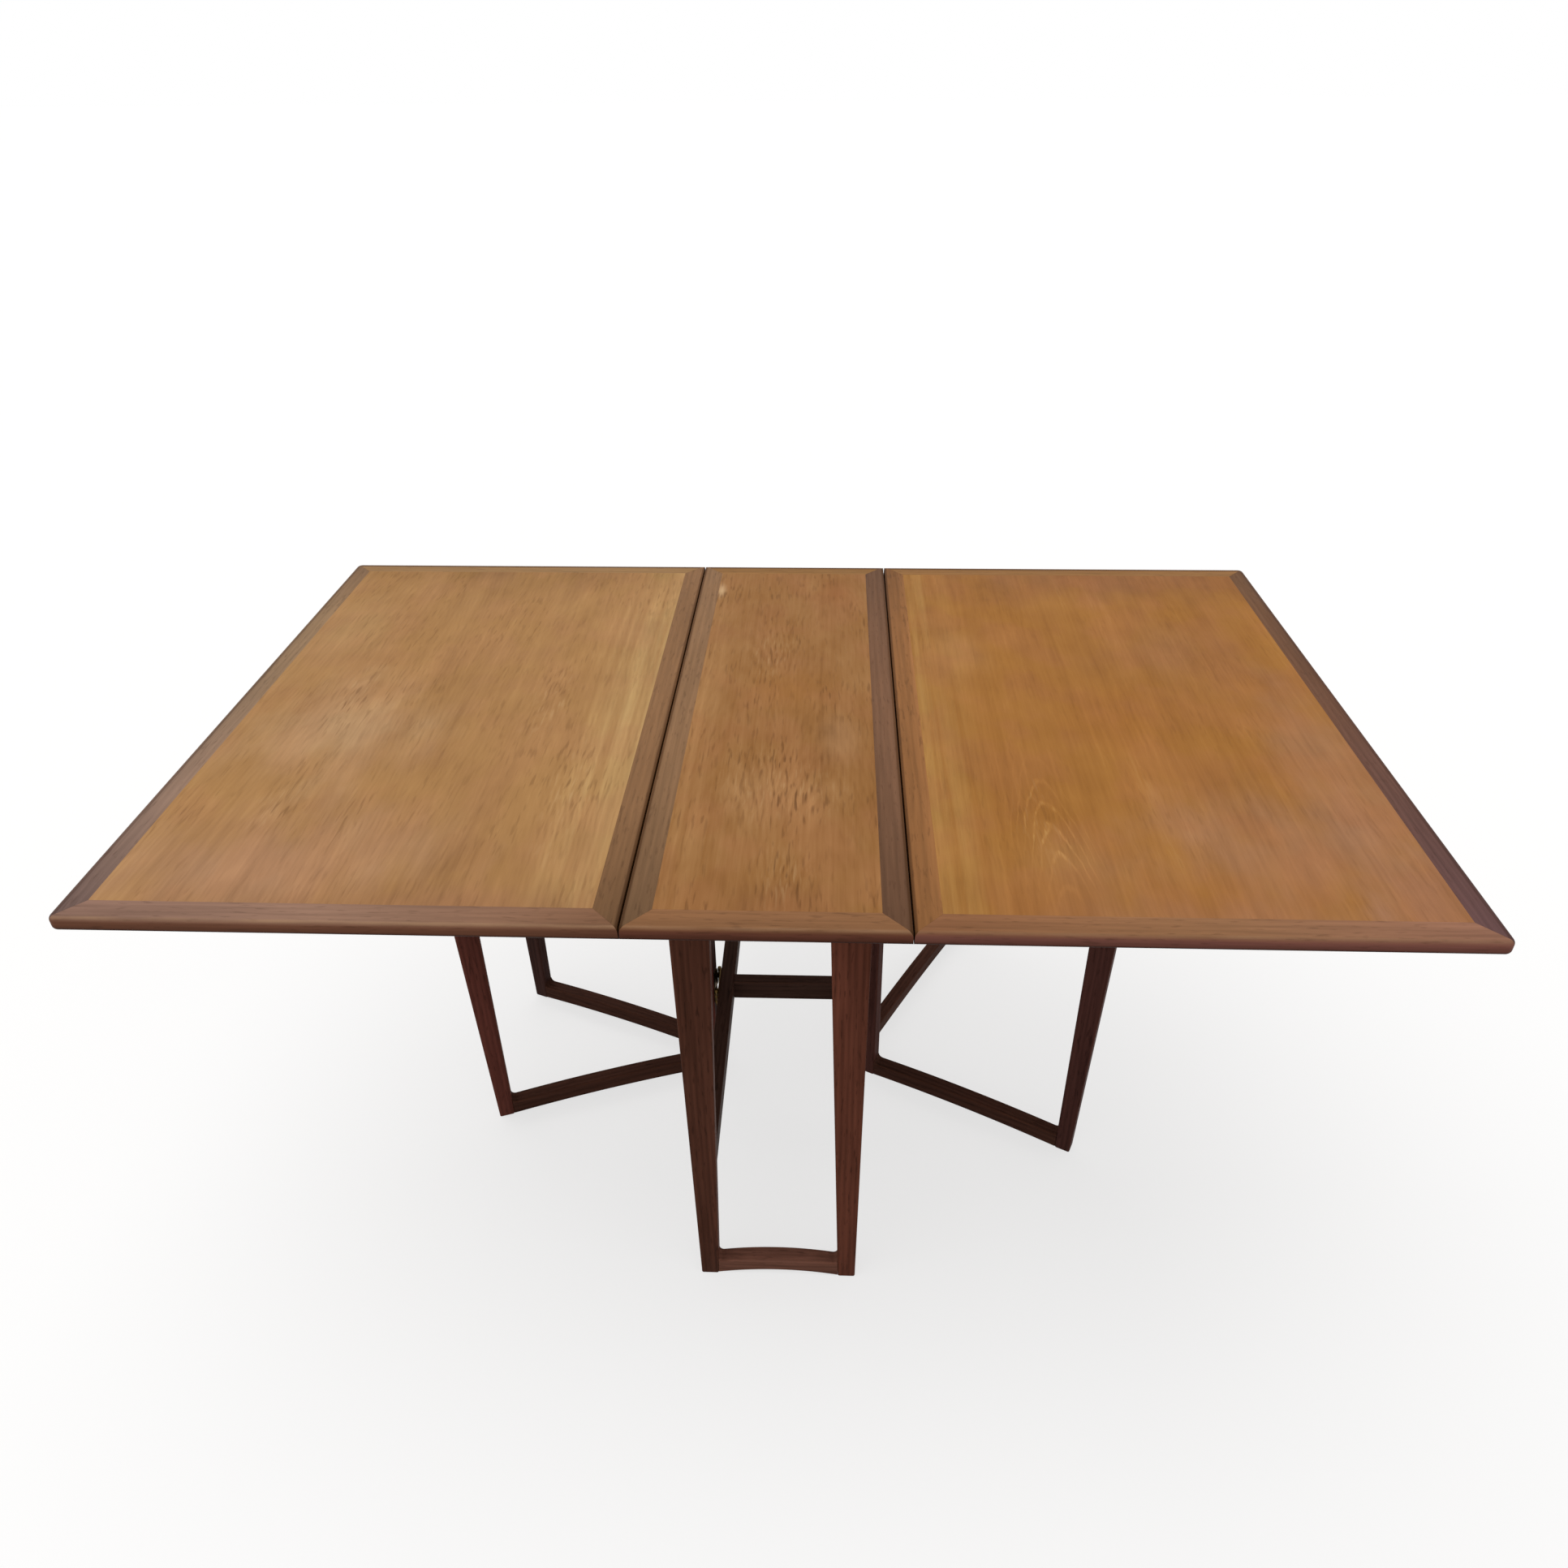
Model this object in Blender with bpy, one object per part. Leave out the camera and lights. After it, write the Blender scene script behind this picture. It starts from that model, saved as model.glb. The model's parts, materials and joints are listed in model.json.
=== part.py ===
import math

import bmesh
import bpy
from mathutils import Matrix, Vector

# Gateleg dining table. Metres, +Z up, origin on the floor under the middle of the top.
# +X runs along the table's length, +Y along the hinge lines towards the rear frame.

# Clearances
FIT = 0.0003              # between seated pieces
LEAF_REST = 0.0005        # gate legs under the leaves
GATE_PASS = 0.001         # gate tops under the leaf hinges
KNUCKLE_GAP = 0.0005      # between the knuckles of one hinge

# Top
TOP_HEIGHT = 0.730
TOP_THICK = 0.019
TOP_DEPTH = 0.975
CENTRE_WIDTH = 0.320
LEAF_WIDTH = 0.638
SEAM_GAP = 0.002
LIPPING_WIDTH = 0.032
TONGUE_DEPTH = 0.006
TONGUE_THICK = 0.006
CORNER_RADIUS = 0.010     # outer corners of the leaves, in plan
EDGE_RADIUS = 0.006       # outer edges of the top
SEAM_EASE = 0.0012        # arrises beside a seam

# End frames
FRAME_INSET = 0.069       # edge of the top to the outer face of a frame
FRAME_FOOT_SPAN = 0.2250  # over both legs at the floor
FRAME_TOP_SPAN = 0.2400   # over both legs under the top
LEG_THICK = 0.022
LEG_FOOT_WIDTH = 0.025
LEG_TOP_WIDTH = 0.050
FRAME_TOP_RAIL_HEIGHT = 0.050

# Rails and stretchers
RAIL_THICK = 0.021        # end frame rails and cross stretcher
FOOT_RAIL_HEIGHT = 0.026
FOOT_RAIL_LIFT = 0.001    # foot rails clear of the floor at their ends
FOOT_RAIL_RISE = 0.009    # and arched this much more in the middle, on the end frames
GATE_FOOT_RAIL_RISE = 0.005    # and on the gates
SIDE_THICK = 0.024        # side rails and side stretchers
SIDE_INSET = 0.0055       # outer edge of the legs, under the top, to the outer face of a side
SIDE_RAIL_HEIGHT = 0.052
STRETCHER_HEIGHT = 0.037
STRETCHER_LIFT = 0.150
TENON_LENGTH = 0.012
TENON_SHOULDER = 0.005
WOOD_EASE = 0.0015        # arrises of all legs and rails
CORNER_FILLET = 0.008     # inside corners of the end frames and the gates

# Gates
GATE_THICK = 0.022
GATE_LEG_INNER = 0.359    # hinge axis to the inner edge of the gate leg
GATE_LEG_FOOT_WIDTH = 0.024
GATE_LEG_TOP_WIDTH = 0.043
POST_WIDTH = 0.0305
GATE_RAIL_HEIGHT = 0.042
GATE_CLEAR = 0.0006       # folded gate to the end frame legs
GATE_MEET = 0.004         # between the front and the rear gate when both stand square
GATE_OPENING = {          # degrees from the folded place
    "front_left": 71.2,
    "rear_left": 69.3,
    "front_right": 63.9,
    "rear_right": 30.5,
}

# Hinges
PLATE_THICK = 0.0014
KNUCKLE_RADIUS = 0.0033
PIN_RADIUS = 0.0013
BORE_RADIUS = 0.0018
GATE_HINGE_LENGTH = 0.034
GATE_HINGE_WIDTH = 0.017
GATE_HINGE_KNUCKLES = 3
LEAF_HINGE_LENGTH = 0.640
LEAF_HINGE_WIDTH = 0.028
LEAF_HINGE_KNUCKLES = 21

# Facets of the round forms
ARC_STEPS = 4
ARCH_STEPS = 12
KNUCKLE_SIDES = 12
PIN_SIDES = 8

# Places worked out from the sizes above
UNDERSIDE = TOP_HEIGHT - TOP_THICK
SEAM_X = (CENTRE_WIDTH + SEAM_GAP) / 2
TOP_HALF_DEPTH = TOP_DEPTH / 2
FRAME_TOP = UNDERSIDE - FIT
FRAME_OUTER_Y = TOP_HALF_DEPTH - FRAME_INSET
FRAME_INNER_Y = FRAME_OUTER_Y - LEG_THICK
SIDE_OUTER_X = FRAME_TOP_SPAN / 2 - SIDE_INSET
SIDE_INNER_X = SIDE_OUTER_X - SIDE_THICK
SETBACK = KNUCKLE_RADIUS + FIT           # hinge axis to the wood that it is screwed to
LEAF_AXIS_Z = UNDERSIDE - SETBACK
GATE_TOP = LEAF_AXIS_Z - KNUCKLE_RADIUS - GATE_PASS
PIVOT_X = SIDE_OUTER_X + SETBACK
FRAME_HALF_SPAN = max(FRAME_FOOT_SPAN, FRAME_TOP_SPAN) / 2
GATE_INNER = FRAME_HALF_SPAN + GATE_CLEAR - PIVOT_X      # axis to the gate's inner face
GATE_OUTER = GATE_INNER + GATE_THICK
PIVOT_Y = GATE_OUTER + GATE_MEET / 2
POST_END = SETBACK + POST_WIDTH


def clear_scene():
    for obj in list(bpy.data.objects):
        bpy.data.objects.remove(obj)


def finish(name, colour, roughness, metallic=0.0):
    material = bpy.data.materials.new(name)
    material.use_nodes = True
    shader = material.node_tree.nodes["Principled BSDF"]
    shader.inputs["Base Color"].default_value = (*colour, 1.0)
    shader.inputs["Roughness"].default_value = roughness
    shader.inputs["Metallic"].default_value = metallic
    return material


def mesh_from(bm, name):
    bmesh.ops.recalc_face_normals(bm, faces=bm.faces)
    mesh = bpy.data.meshes.new(name)
    bm.to_mesh(mesh)
    bm.free()
    return mesh


def add_part(name, bm, material, parent=None):
    obj = bpy.data.objects.new(name, mesh_from(bm, name))
    obj.data.materials.append(material)
    obj.parent = parent
    bpy.context.collection.objects.link(obj)
    return obj


def add_axis(name, location, turn=0.0):
    axis = bpy.data.objects.new(name, None)
    axis.location = location
    axis.rotation_euler.z = turn
    bpy.context.collection.objects.link(axis)
    return axis


def placed(bm, x_axis, y_axis, z_axis, origin=(0, 0, 0)):
    columns = Matrix((x_axis, y_axis, z_axis)).transposed().to_4x4()
    columns.translation = Vector(origin)
    bm.transform(columns)
    bmesh.ops.recalc_face_normals(bm, faces=bm.faces)
    return bm


# A closed solid through rings of equal length, capped at both ends
def loft(rings):
    bm = bmesh.new()
    loops = [[bm.verts.new(point) for point in ring] for ring in rings]
    for low, high in zip(loops, loops[1:]):
        for i in range(len(low)):
            j = (i + 1) % len(low)
            bm.faces.new((low[i], low[j], high[j], high[i]))
    bm.faces.new(reversed(loops[0]))
    bm.faces.new(loops[-1])
    bmesh.ops.recalc_face_normals(bm, faces=bm.faces)
    return bm


def block(x0, x1, y0, y1, z0, z1):
    corners = ((x0, y0), (x1, y0), (x1, y1), (x0, y1))
    return loft([[(x, y, z) for x, y in corners] for z in (z0, z1)])


def prism(sides, radius, z0, z1, x=0.0):
    turns = [2 * math.pi * k / sides for k in range(sides)]
    ring = [(x + radius * math.cos(a), radius * math.sin(a)) for a in turns]
    return loft([[(px, py, z) for px, py in ring] for z in (z0, z1)])


def combined(body, tool, operation):
    target = bpy.data.objects.new("target", mesh_from(body, "target"))
    cutter = bpy.data.objects.new("cutter", mesh_from(tool, "cutter"))
    for obj in (target, cutter):
        bpy.context.collection.objects.link(obj)
    boolean = target.modifiers.new("combine", "BOOLEAN")
    boolean.operation = operation
    boolean.solver = "EXACT"
    boolean.object = cutter
    graph = bpy.context.evaluated_depsgraph_get()
    result = bmesh.new()
    result.from_mesh(target.evaluated_get(graph).to_mesh())
    for obj in (target, cutter):
        mesh = obj.data
        bpy.data.objects.remove(obj)
        bpy.data.meshes.remove(mesh)
    return result


def cut(body, tools):
    for tool in tools:
        body = combined(body, tool, "DIFFERENCE")
    return body


def eased_rectangle(a0, a1, b0, b1, ease):
    return [
        (a0 + ease, b0), (a1 - ease, b0), (a1, b0 + ease), (a1, b1 - ease),
        (a1 - ease, b1), (a0 + ease, b1), (a0, b1 - ease), (a0, b0 + ease),
    ]


# Legs and posts

# An upright of rectangular section, with a straight taper from foot to top
def upright(foot, top, y0, y1, height):
    rings = []
    for z, ease in ((0.0, WOOD_EASE), (WOOD_EASE, 0.0), (height, 0.0)):
        share = z / height
        x0, x1 = (low + (high - low) * share for low, high in zip(foot, top))
        section = eased_rectangle(x0 + ease, x1 - ease, y0 + ease, y1 - ease, WOOD_EASE)
        rings.append([(x, y, z) for x, y in section])
    return loft(rings)


# Inner edge of an end frame's leg, at a height
def leg_inner_x(z):
    foot = FRAME_FOOT_SPAN / 2 - LEG_FOOT_WIDTH
    top = FRAME_TOP_SPAN / 2 - LEG_TOP_WIDTH
    return foot + (top - foot) * z / FRAME_TOP


# Rails with stub tenons

# How far an inside corner's fillet stands off the rail, at a distance from the shoulder
def fillet_height(distance):
    reach = max(CORNER_FILLET - distance, 0.0)
    return CORNER_FILLET - math.sqrt(CORNER_FILLET ** 2 - reach ** 2)


# A rail along X between two shoulders, given as functions of height, and arched by its rise.
# Its ends flare into fillets on its upper side (+1), its lower side (-1) or neither (0).
def rail(ends, y0, y1, z0, z1, rise=0.0, filleted=0):
    middle = (z0 + z1) / 2
    start, stop = ends
    length = stop(middle) - start(middle)

    def section(share):
        flare = fillet_height(min(share, 1 - share) * length)
        low = z0 - (flare if filleted < 0 else 0.0)
        high = z1 + (flare if filleted > 0 else 0.0)
        lift = rise * 4 * share * (1 - share)
        ring = eased_rectangle(y0, y1, low, high, WOOD_EASE)
        return [(start(z) + (stop(z) - start(z)) * share, y, z + lift) for y, z in ring]

    def tenon(shoulder, reach):
        inset = TENON_SHOULDER
        ring = eased_rectangle(y0 + inset, y1 - inset, z0 + inset, z1 - inset, WOOD_EASE)
        return [(shoulder(z) if reach == 0 else shoulder(middle) + reach, y, z) for y, z in ring]

    shares = {k / ARCH_STEPS for k in range(ARCH_STEPS + 1)} if rise else {0.0, 1.0}
    if filleted:
        turns = [math.pi / 2 * k / ARC_STEPS for k in range(1, ARC_STEPS + 1)]
        near = {CORNER_FILLET * (1 - math.cos(turn)) / length for turn in turns}
        shares |= near | {1 - share for share in near}
    rings = [tenon(start, -TENON_LENGTH), tenon(start, 0)]
    rings += [section(share) for share in sorted(shares)]
    rings += [tenon(stop, 0), tenon(stop, TENON_LENGTH)]
    return loft(rings)


# The mortise for one tenon of that rail: side -1 is its start, +1 its stop
def mortise(ends, y0, y1, z0, z1, side):
    inset = TENON_SHOULDER - FIT
    shoulder = ends[0 if side < 0 else 1]((z0 + z1) / 2)
    x0, x1 = sorted((shoulder - side * TENON_SHOULDER, shoulder + side * (TENON_LENGTH + FIT)))
    return block(x0, x1, y0 + inset, y1 - inset, z0 + inset, z1 - inset)


def between(start, stop):
    return (lambda z: start, lambda z: stop)


# Turns a rail along X into one along Y, at the same distance from the middle plane on one side
def along_depth(bm, side):
    return placed(bm, (0, 1, 0), (side, 0, 0), (0, 0, 1))


FRAME_RAIL_ENDS = (lambda z: FIT - leg_inner_x(z), lambda z: leg_inner_x(z) - FIT)
FRAME_RAIL_MIDDLE_Y = (FRAME_OUTER_Y + FRAME_INNER_Y) / 2
FRAME_RAIL_Y = (FRAME_RAIL_MIDDLE_Y - RAIL_THICK / 2, FRAME_RAIL_MIDDLE_Y + RAIL_THICK / 2)
FOOT_RAIL_Z = (FOOT_RAIL_LIFT, FOOT_RAIL_LIFT + FOOT_RAIL_HEIGHT)
FRAME_TOP_RAIL_Z = (FRAME_TOP - FRAME_TOP_RAIL_HEIGHT, FRAME_TOP)
SIDE_ENDS = between(FIT - FRAME_INNER_Y, FRAME_INNER_Y - FIT)
SIDE_X = (SIDE_INNER_X, SIDE_OUTER_X)
SIDE_RAIL_Z = (FRAME_TOP - SIDE_RAIL_HEIGHT, FRAME_TOP)
STRETCHER_Z = (STRETCHER_LIFT, STRETCHER_LIFT + STRETCHER_HEIGHT)
CROSS_ENDS = between(FIT - SIDE_INNER_X, SIDE_INNER_X - FIT)
CROSS_Y = (-RAIL_THICK / 2, RAIL_THICK / 2)
GATE_RAIL_ENDS = between(POST_END + FIT, GATE_LEG_INNER - FIT)
GATE_TOP_RAIL_Z = (GATE_TOP - GATE_RAIL_HEIGHT, GATE_TOP)
GATE_Y = (GATE_INNER, GATE_OUTER)
GATE_HINGE_Z = {"lower": sum(STRETCHER_Z) / 2, "upper": sum(GATE_TOP_RAIL_Z) / 2}
GATE_HINGE_SIZE = (GATE_HINGE_LENGTH, GATE_HINGE_WIDTH, GATE_HINGE_KNUCKLES)


def make_end_frame(end, side_y, wood):
    foot = (FRAME_FOOT_SPAN / 2 - LEG_FOOT_WIDTH, FRAME_FOOT_SPAN / 2)
    top = (FRAME_TOP_SPAN / 2 - LEG_TOP_WIDTH, FRAME_TOP_SPAN / 2)
    for hand, side_x in (("left", -1), ("right", 1)):
        leg = upright(foot, top, FRAME_INNER_Y, FRAME_OUTER_Y, FRAME_TOP)
        leg = cut(leg, [
            mortise(FRAME_RAIL_ENDS, *FRAME_RAIL_Y, *FOOT_RAIL_Z, 1),
            mortise(FRAME_RAIL_ENDS, *FRAME_RAIL_Y, *FRAME_TOP_RAIL_Z, 1),
            along_depth(mortise(SIDE_ENDS, *SIDE_X, *SIDE_RAIL_Z, 1), 1),
            along_depth(mortise(SIDE_ENDS, *SIDE_X, *STRETCHER_Z, 1), 1),
        ])
        leg = placed(leg, (side_x, 0, 0), (0, side_y, 0), (0, 0, 1))
        add_part(f"{end}_frame_leg_{hand}", leg, wood)
    foot_rail = rail(FRAME_RAIL_ENDS, *FRAME_RAIL_Y, *FOOT_RAIL_Z, FOOT_RAIL_RISE, filleted=1)
    top_rail = rail(FRAME_RAIL_ENDS, *FRAME_RAIL_Y, *FRAME_TOP_RAIL_Z, filleted=-1)
    for name, bm in (("foot_rail", foot_rail), ("top_rail", top_rail)):
        add_part(f"{end}_frame_{name}", placed(bm, (1, 0, 0), (0, side_y, 0), (0, 0, 1)), wood)


def make_sides(wood):
    for hand, side_x in (("left", -1), ("right", 1)):
        side_rail = rail(SIDE_ENDS, *SIDE_X, *SIDE_RAIL_Z)
        add_part(f"{hand}_side_rail", along_depth(side_rail, side_x), wood)
        stretcher = along_depth(rail(SIDE_ENDS, *SIDE_X, *STRETCHER_Z), side_x)
        stretcher = cut(stretcher, [mortise(CROSS_ENDS, *CROSS_Y, *STRETCHER_Z, side_x)])
        add_part(f"{hand}_stretcher", stretcher, wood)
    add_part("cross_stretcher", rail(CROSS_ENDS, *CROSS_Y, *STRETCHER_Z), wood)


# Table top

# How far a rounded outer edge, or an eased seam edge, draws in at a height above the underside
def edge_inset(z):
    below = EDGE_RADIUS - min(z, TOP_THICK - z)
    return EDGE_RADIUS - math.sqrt(EDGE_RADIUS ** 2 - max(below, 0.0) ** 2)


def seam_inset(z):
    return max(SEAM_EASE - min(z, TOP_THICK - z), 0.0)


def slab_levels():
    turns = [math.pi / 2 * k / ARC_STEPS for k in range(ARC_STEPS + 1)]
    low = [EDGE_RADIUS * (1 - math.cos(a)) for a in turns] + [SEAM_EASE]
    return sorted(low + [TOP_THICK - z for z in low])


# Plan of the top at a height. A corner on a seam is square, and an outer one is an arc.
def slab_ring(box, seams, z):
    x0, x1, y0, y1 = box
    ring = []
    for quarter, (x, y) in enumerate(((x0, y0), (x1, y0), (x1, y1), (x0, y1))):
        into_x = 1 if x == x0 else -1
        into_y = 1 if y == y0 else -1
        if seams[0 if x == x0 else 1]:
            ring.append((x + into_x * seam_inset(z), y + into_y * edge_inset(z), z))
            continue
        middle = (x + into_x * CORNER_RADIUS, y + into_y * CORNER_RADIUS)
        radius = CORNER_RADIUS - edge_inset(z)
        for k in range(ARC_STEPS + 1):
            turn = math.pi / 2 * (quarter + 2 + k / ARC_STEPS)
            ring.append((middle[0] + radius * math.cos(turn), middle[1] + radius * math.sin(turn), z))
    return ring


# The veneered board inside the lippings, with its tongue. Grown a little, it cuts their groove.
def panel(box, grow=0.0, over=0.0):
    x0, x1, y0, y1 = box
    middle = TOP_THICK / 2
    half_tongue = TONGUE_THICK / 2 + grow
    rings = []
    for z, reach in (
        (-over, 0.0), (middle - half_tongue, 0.0), (middle - half_tongue, TONGUE_DEPTH),
        (middle + half_tongue, TONGUE_DEPTH), (middle + half_tongue, 0.0), (TOP_THICK + over, 0.0),
    ):
        inset = LIPPING_WIDTH + FIT - grow - reach
        xs = (x0 + inset, x1 - inset)
        ys = (y0 + inset, y1 - inset)
        rings.append([(xs[0], ys[0], z), (xs[1], ys[0], z), (xs[1], ys[1], z), (xs[0], ys[1], z)])
    return loft(rings)


# Keeps the part of a solid on the side that a plane's normal points to
def trimmed(bm, point, normal):
    everything = bm.verts[:] + bm.edges[:] + bm.faces[:]
    bmesh.ops.bisect_plane(bm, geom=everything, plane_co=point, plane_no=normal, clear_inner=True)
    bmesh.ops.edgeloop_fill(bm, edges=[edge for edge in bm.edges if edge.is_boundary])
    return bm


# One lipping of the ring: its own half of the board, between the mitres of its two corners
def lipping(ring, box, side):
    x0, x1, y0, y1 = box
    corners = {"left": ((x0, y0), (x0, y1)), "right": ((x1, y0), (x1, y1)),
               "front": ((x0, y0), (x1, y0)), "rear": ((x0, y1), (x1, y1))}[side]
    inward = {"left": (1, 0), "right": (-1, 0), "front": (0, 1), "rear": (0, -1)}[side]
    middle = ((x0 + x1) / 2, (y0 + y1) / 2, 0)
    piece = trimmed(ring.copy(), middle, (-inward[0], -inward[1], 0))
    for corner, other in (corners, corners[::-1]):
        along = (Vector(other) - Vector(corner)).normalized()
        normal = (along - Vector(inward)).normalized()
        point = Vector(corner) + normal * FIT / 2
        piece = trimmed(piece, (*point, 0), (*normal, 0))
    return piece


# One board of the top, its underside at the height given, seen from its parent's place
def make_board(prefix, box, seams, names, veneer, lipping_wood, parent=None):
    origin = -parent.location if parent else Vector()
    lift = Vector((0, 0, UNDERSIDE)) + origin
    slab = loft([slab_ring(box, seams, z) for z in slab_levels()])
    ring = cut(slab, [panel(box, FIT, TOP_THICK)])
    pieces = [(f"{prefix}_panel", panel(box), veneer)]
    for side, name in names.items():
        pieces.append((f"{prefix}_lipping_{name}", lipping(ring, box, side), lipping_wood))
    ring.free()
    for name, bm, material in pieces:
        bmesh.ops.translate(bm, verts=bm.verts, vec=lift)
        add_part(name, bm, material, parent)


# Hinges

# The stretches of a hinge's length that one leaf's knuckles take up: every second one
def knuckle_spans(length, count, first):
    step = length / count
    spans = []
    for k in range(first, count, 2):
        low = -length / 2 + k * step + (KNUCKLE_GAP / 2 if k else 0)
        high = -length / 2 + (k + 1) * step - (KNUCKLE_GAP / 2 if k < count - 1 else 0)
        spans.append((low, high))
    return spans


# The castellated edge of a plate, from its lower end to its upper end
def plate_edge(length, spans):
    clear = KNUCKLE_RADIUS + KNUCKLE_GAP
    tab = PIN_RADIUS / 2
    edge = []
    z = -length / 2
    for low, high in spans:
        if low > z:
            edge += [(clear, z), (clear, low)]
        edge += [(tab, low), (tab, high)]
        z = high
    if z < length / 2:
        edge += [(clear, z), (clear, length / 2)]
    return edge


# A hinge leaf. Its axis is Z, its plate runs along +X, and the wood lies at +Y.
# The fixed leaf carries the pin, and with a second axis it holds two gates.
def hinge_leaf(length, width, count, fixed, second_axis=None):
    spans = knuckle_spans(length, count, 0 if fixed else 1)
    edge = plate_edge(length, spans)
    if second_axis:
        far_edge = [(second_axis - x, z) for x, z in reversed(edge)]
    else:
        far_edge = [(width, length / 2), (width, -length / 2)]
    outline = edge + far_edge
    leaf = loft([[(x, y, z) for x, z in outline] for y in (KNUCKLE_RADIUS - PLATE_THICK, KNUCKLE_RADIUS)])
    for x in (0.0, second_axis) if second_axis else (0.0,):
        for low, high in spans:
            leaf = combined(leaf, prism(KNUCKLE_SIDES, KNUCKLE_RADIUS, low, high, x), "UNION")
        if fixed:
            inside = length / 2 - KNUCKLE_GAP
            leaf = combined(leaf, prism(PIN_SIDES, PIN_RADIUS, -inside, inside, x), "UNION")
        else:
            leaf = cut(leaf, [prism(PIN_SIDES, BORE_RADIUS, -length, length, x)])
    return leaf


def make_leaf_hinge(hand, side_x, axis, metal):
    size = (LEAF_HINGE_LENGTH, LEAF_HINGE_WIDTH, LEAF_HINGE_KNUCKLES)
    fixed = hinge_leaf(*size, True)
    fixed = placed(fixed, (-side_x, 0, 0), (0, 0, 1), (0, 1, 0), axis.location)
    add_part(f"{hand}_leaf_hinge_fixed", fixed, metal)
    moving = placed(hinge_leaf(*size, False), (side_x, 0, 0), (0, 0, 1), (0, 1, 0))
    add_part(f"{hand}_leaf_hinge_moving", moving, metal, axis)


def make_gate_plates(hand, side_x, metal):
    for level, z in GATE_HINGE_Z.items():
        plate = hinge_leaf(*GATE_HINGE_SIZE, True, 2 * PIVOT_Y)
        origin = (side_x * PIVOT_X, -PIVOT_Y, z)
        plate = placed(plate, (0, 1, 0), (-side_x, 0, 0), (0, 0, 1), origin)
        add_part(f"{hand}_gate_hinge_plate_{level}", plate, metal)


# Gates

# A gate lies along +X from its hinge axis. Its thickness goes to +Y or -Y by its hand.
def make_gate(name, wood, metal):
    end, hand = name.split("_")
    side_x = -1 if hand == "left" else 1
    side_y = -1 if end == "front" else 1
    opening = math.radians(GATE_OPENING[name])
    turn = math.atan2(side_y * math.cos(opening), side_x * math.sin(opening))
    axis = add_axis(f"gate_{name}_axis", (side_x * PIVOT_X, side_y * PIVOT_Y, 0), turn)
    facing = -side_x * side_y

    post = upright((SETBACK, POST_END), (SETBACK, POST_END), *GATE_Y, GATE_TOP)
    foot = (GATE_LEG_INNER, GATE_LEG_INNER + GATE_LEG_FOOT_WIDTH)
    top = (GATE_LEG_INNER, GATE_LEG_INNER + GATE_LEG_TOP_WIDTH)
    leg = upright(foot, top, *GATE_Y, UNDERSIDE - LEAF_REST)
    for z in (FOOT_RAIL_Z, GATE_TOP_RAIL_Z):
        post = cut(post, [mortise(GATE_RAIL_ENDS, *GATE_Y, *z, -1)])
        leg = cut(leg, [mortise(GATE_RAIL_ENDS, *GATE_Y, *z, 1)])
    pieces = {
        "post": post,
        "leg": leg,
        "foot_rail": rail(GATE_RAIL_ENDS, *GATE_Y, *FOOT_RAIL_Z, GATE_FOOT_RAIL_RISE, filleted=1),
        "top_rail": rail(GATE_RAIL_ENDS, *GATE_Y, *GATE_TOP_RAIL_Z, filleted=-1),
    }
    for piece, bm in pieces.items():
        bm = placed(bm, (1, 0, 0), (0, facing, 0), (0, 0, 1))
        add_part(f"gate_{name}_{piece}", bm, wood, axis)
    for level, z in GATE_HINGE_Z.items():
        moving = hinge_leaf(*GATE_HINGE_SIZE, False)
        moving = placed(moving, (0, facing, 0), (1, 0, 0), (0, 0, 1), (0, 0, z))
        add_part(f"gate_{name}_hinge_{level}", moving, metal, axis)


def make_table():
    clear_scene()
    veneer = finish("teak_veneer", (0.39, 0.18, 0.055), 0.45)
    lipping_wood = finish("teak_lipping", (0.17, 0.085, 0.045), 0.42)
    frame_wood = finish("dark_teak", (0.075, 0.026, 0.014), 0.40)
    brass = finish("dull_brass", (0.56, 0.45, 0.24), 0.35, 1.0)

    centre = (-CENTRE_WIDTH / 2, CENTRE_WIDTH / 2, -TOP_HALF_DEPTH, TOP_HALF_DEPTH)
    every_side = {"front": "front", "rear": "rear", "left": "left", "right": "right"}
    make_board("centre", centre, (True, True), every_side, veneer, lipping_wood)
    for hand, side_x in (("left", -1), ("right", 1)):
        axis = add_axis(f"{hand}_leaf_axis", (side_x * SEAM_X, 0, LEAF_AXIS_Z))
        x0, x1 = sorted((side_x * (SEAM_X + SEAM_GAP / 2), side_x * (SEAM_X + SEAM_GAP / 2 + LEAF_WIDTH)))
        box = (x0, x1, -TOP_HALF_DEPTH, TOP_HALF_DEPTH)
        sides = ("right", "left") if side_x < 0 else ("left", "right")
        names = {"front": "front", "rear": "rear", sides[0]: "hinge", sides[1]: "outer"}
        seams = (side_x > 0, side_x < 0)
        make_board(f"{hand}_leaf", box, seams, names, veneer, lipping_wood, axis)
        make_leaf_hinge(hand, side_x, axis, brass)
        make_gate_plates(hand, side_x, brass)

    make_end_frame("front", -1, frame_wood)
    make_end_frame("rear", 1, frame_wood)
    make_sides(frame_wood)
    for name in GATE_OPENING:
        make_gate(name, frame_wood, brass)


make_table()
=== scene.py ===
import json
import math
from functools import partial

import bmesh
import bpy
import numpy as np
from mathutils import Matrix, Vector


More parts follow.
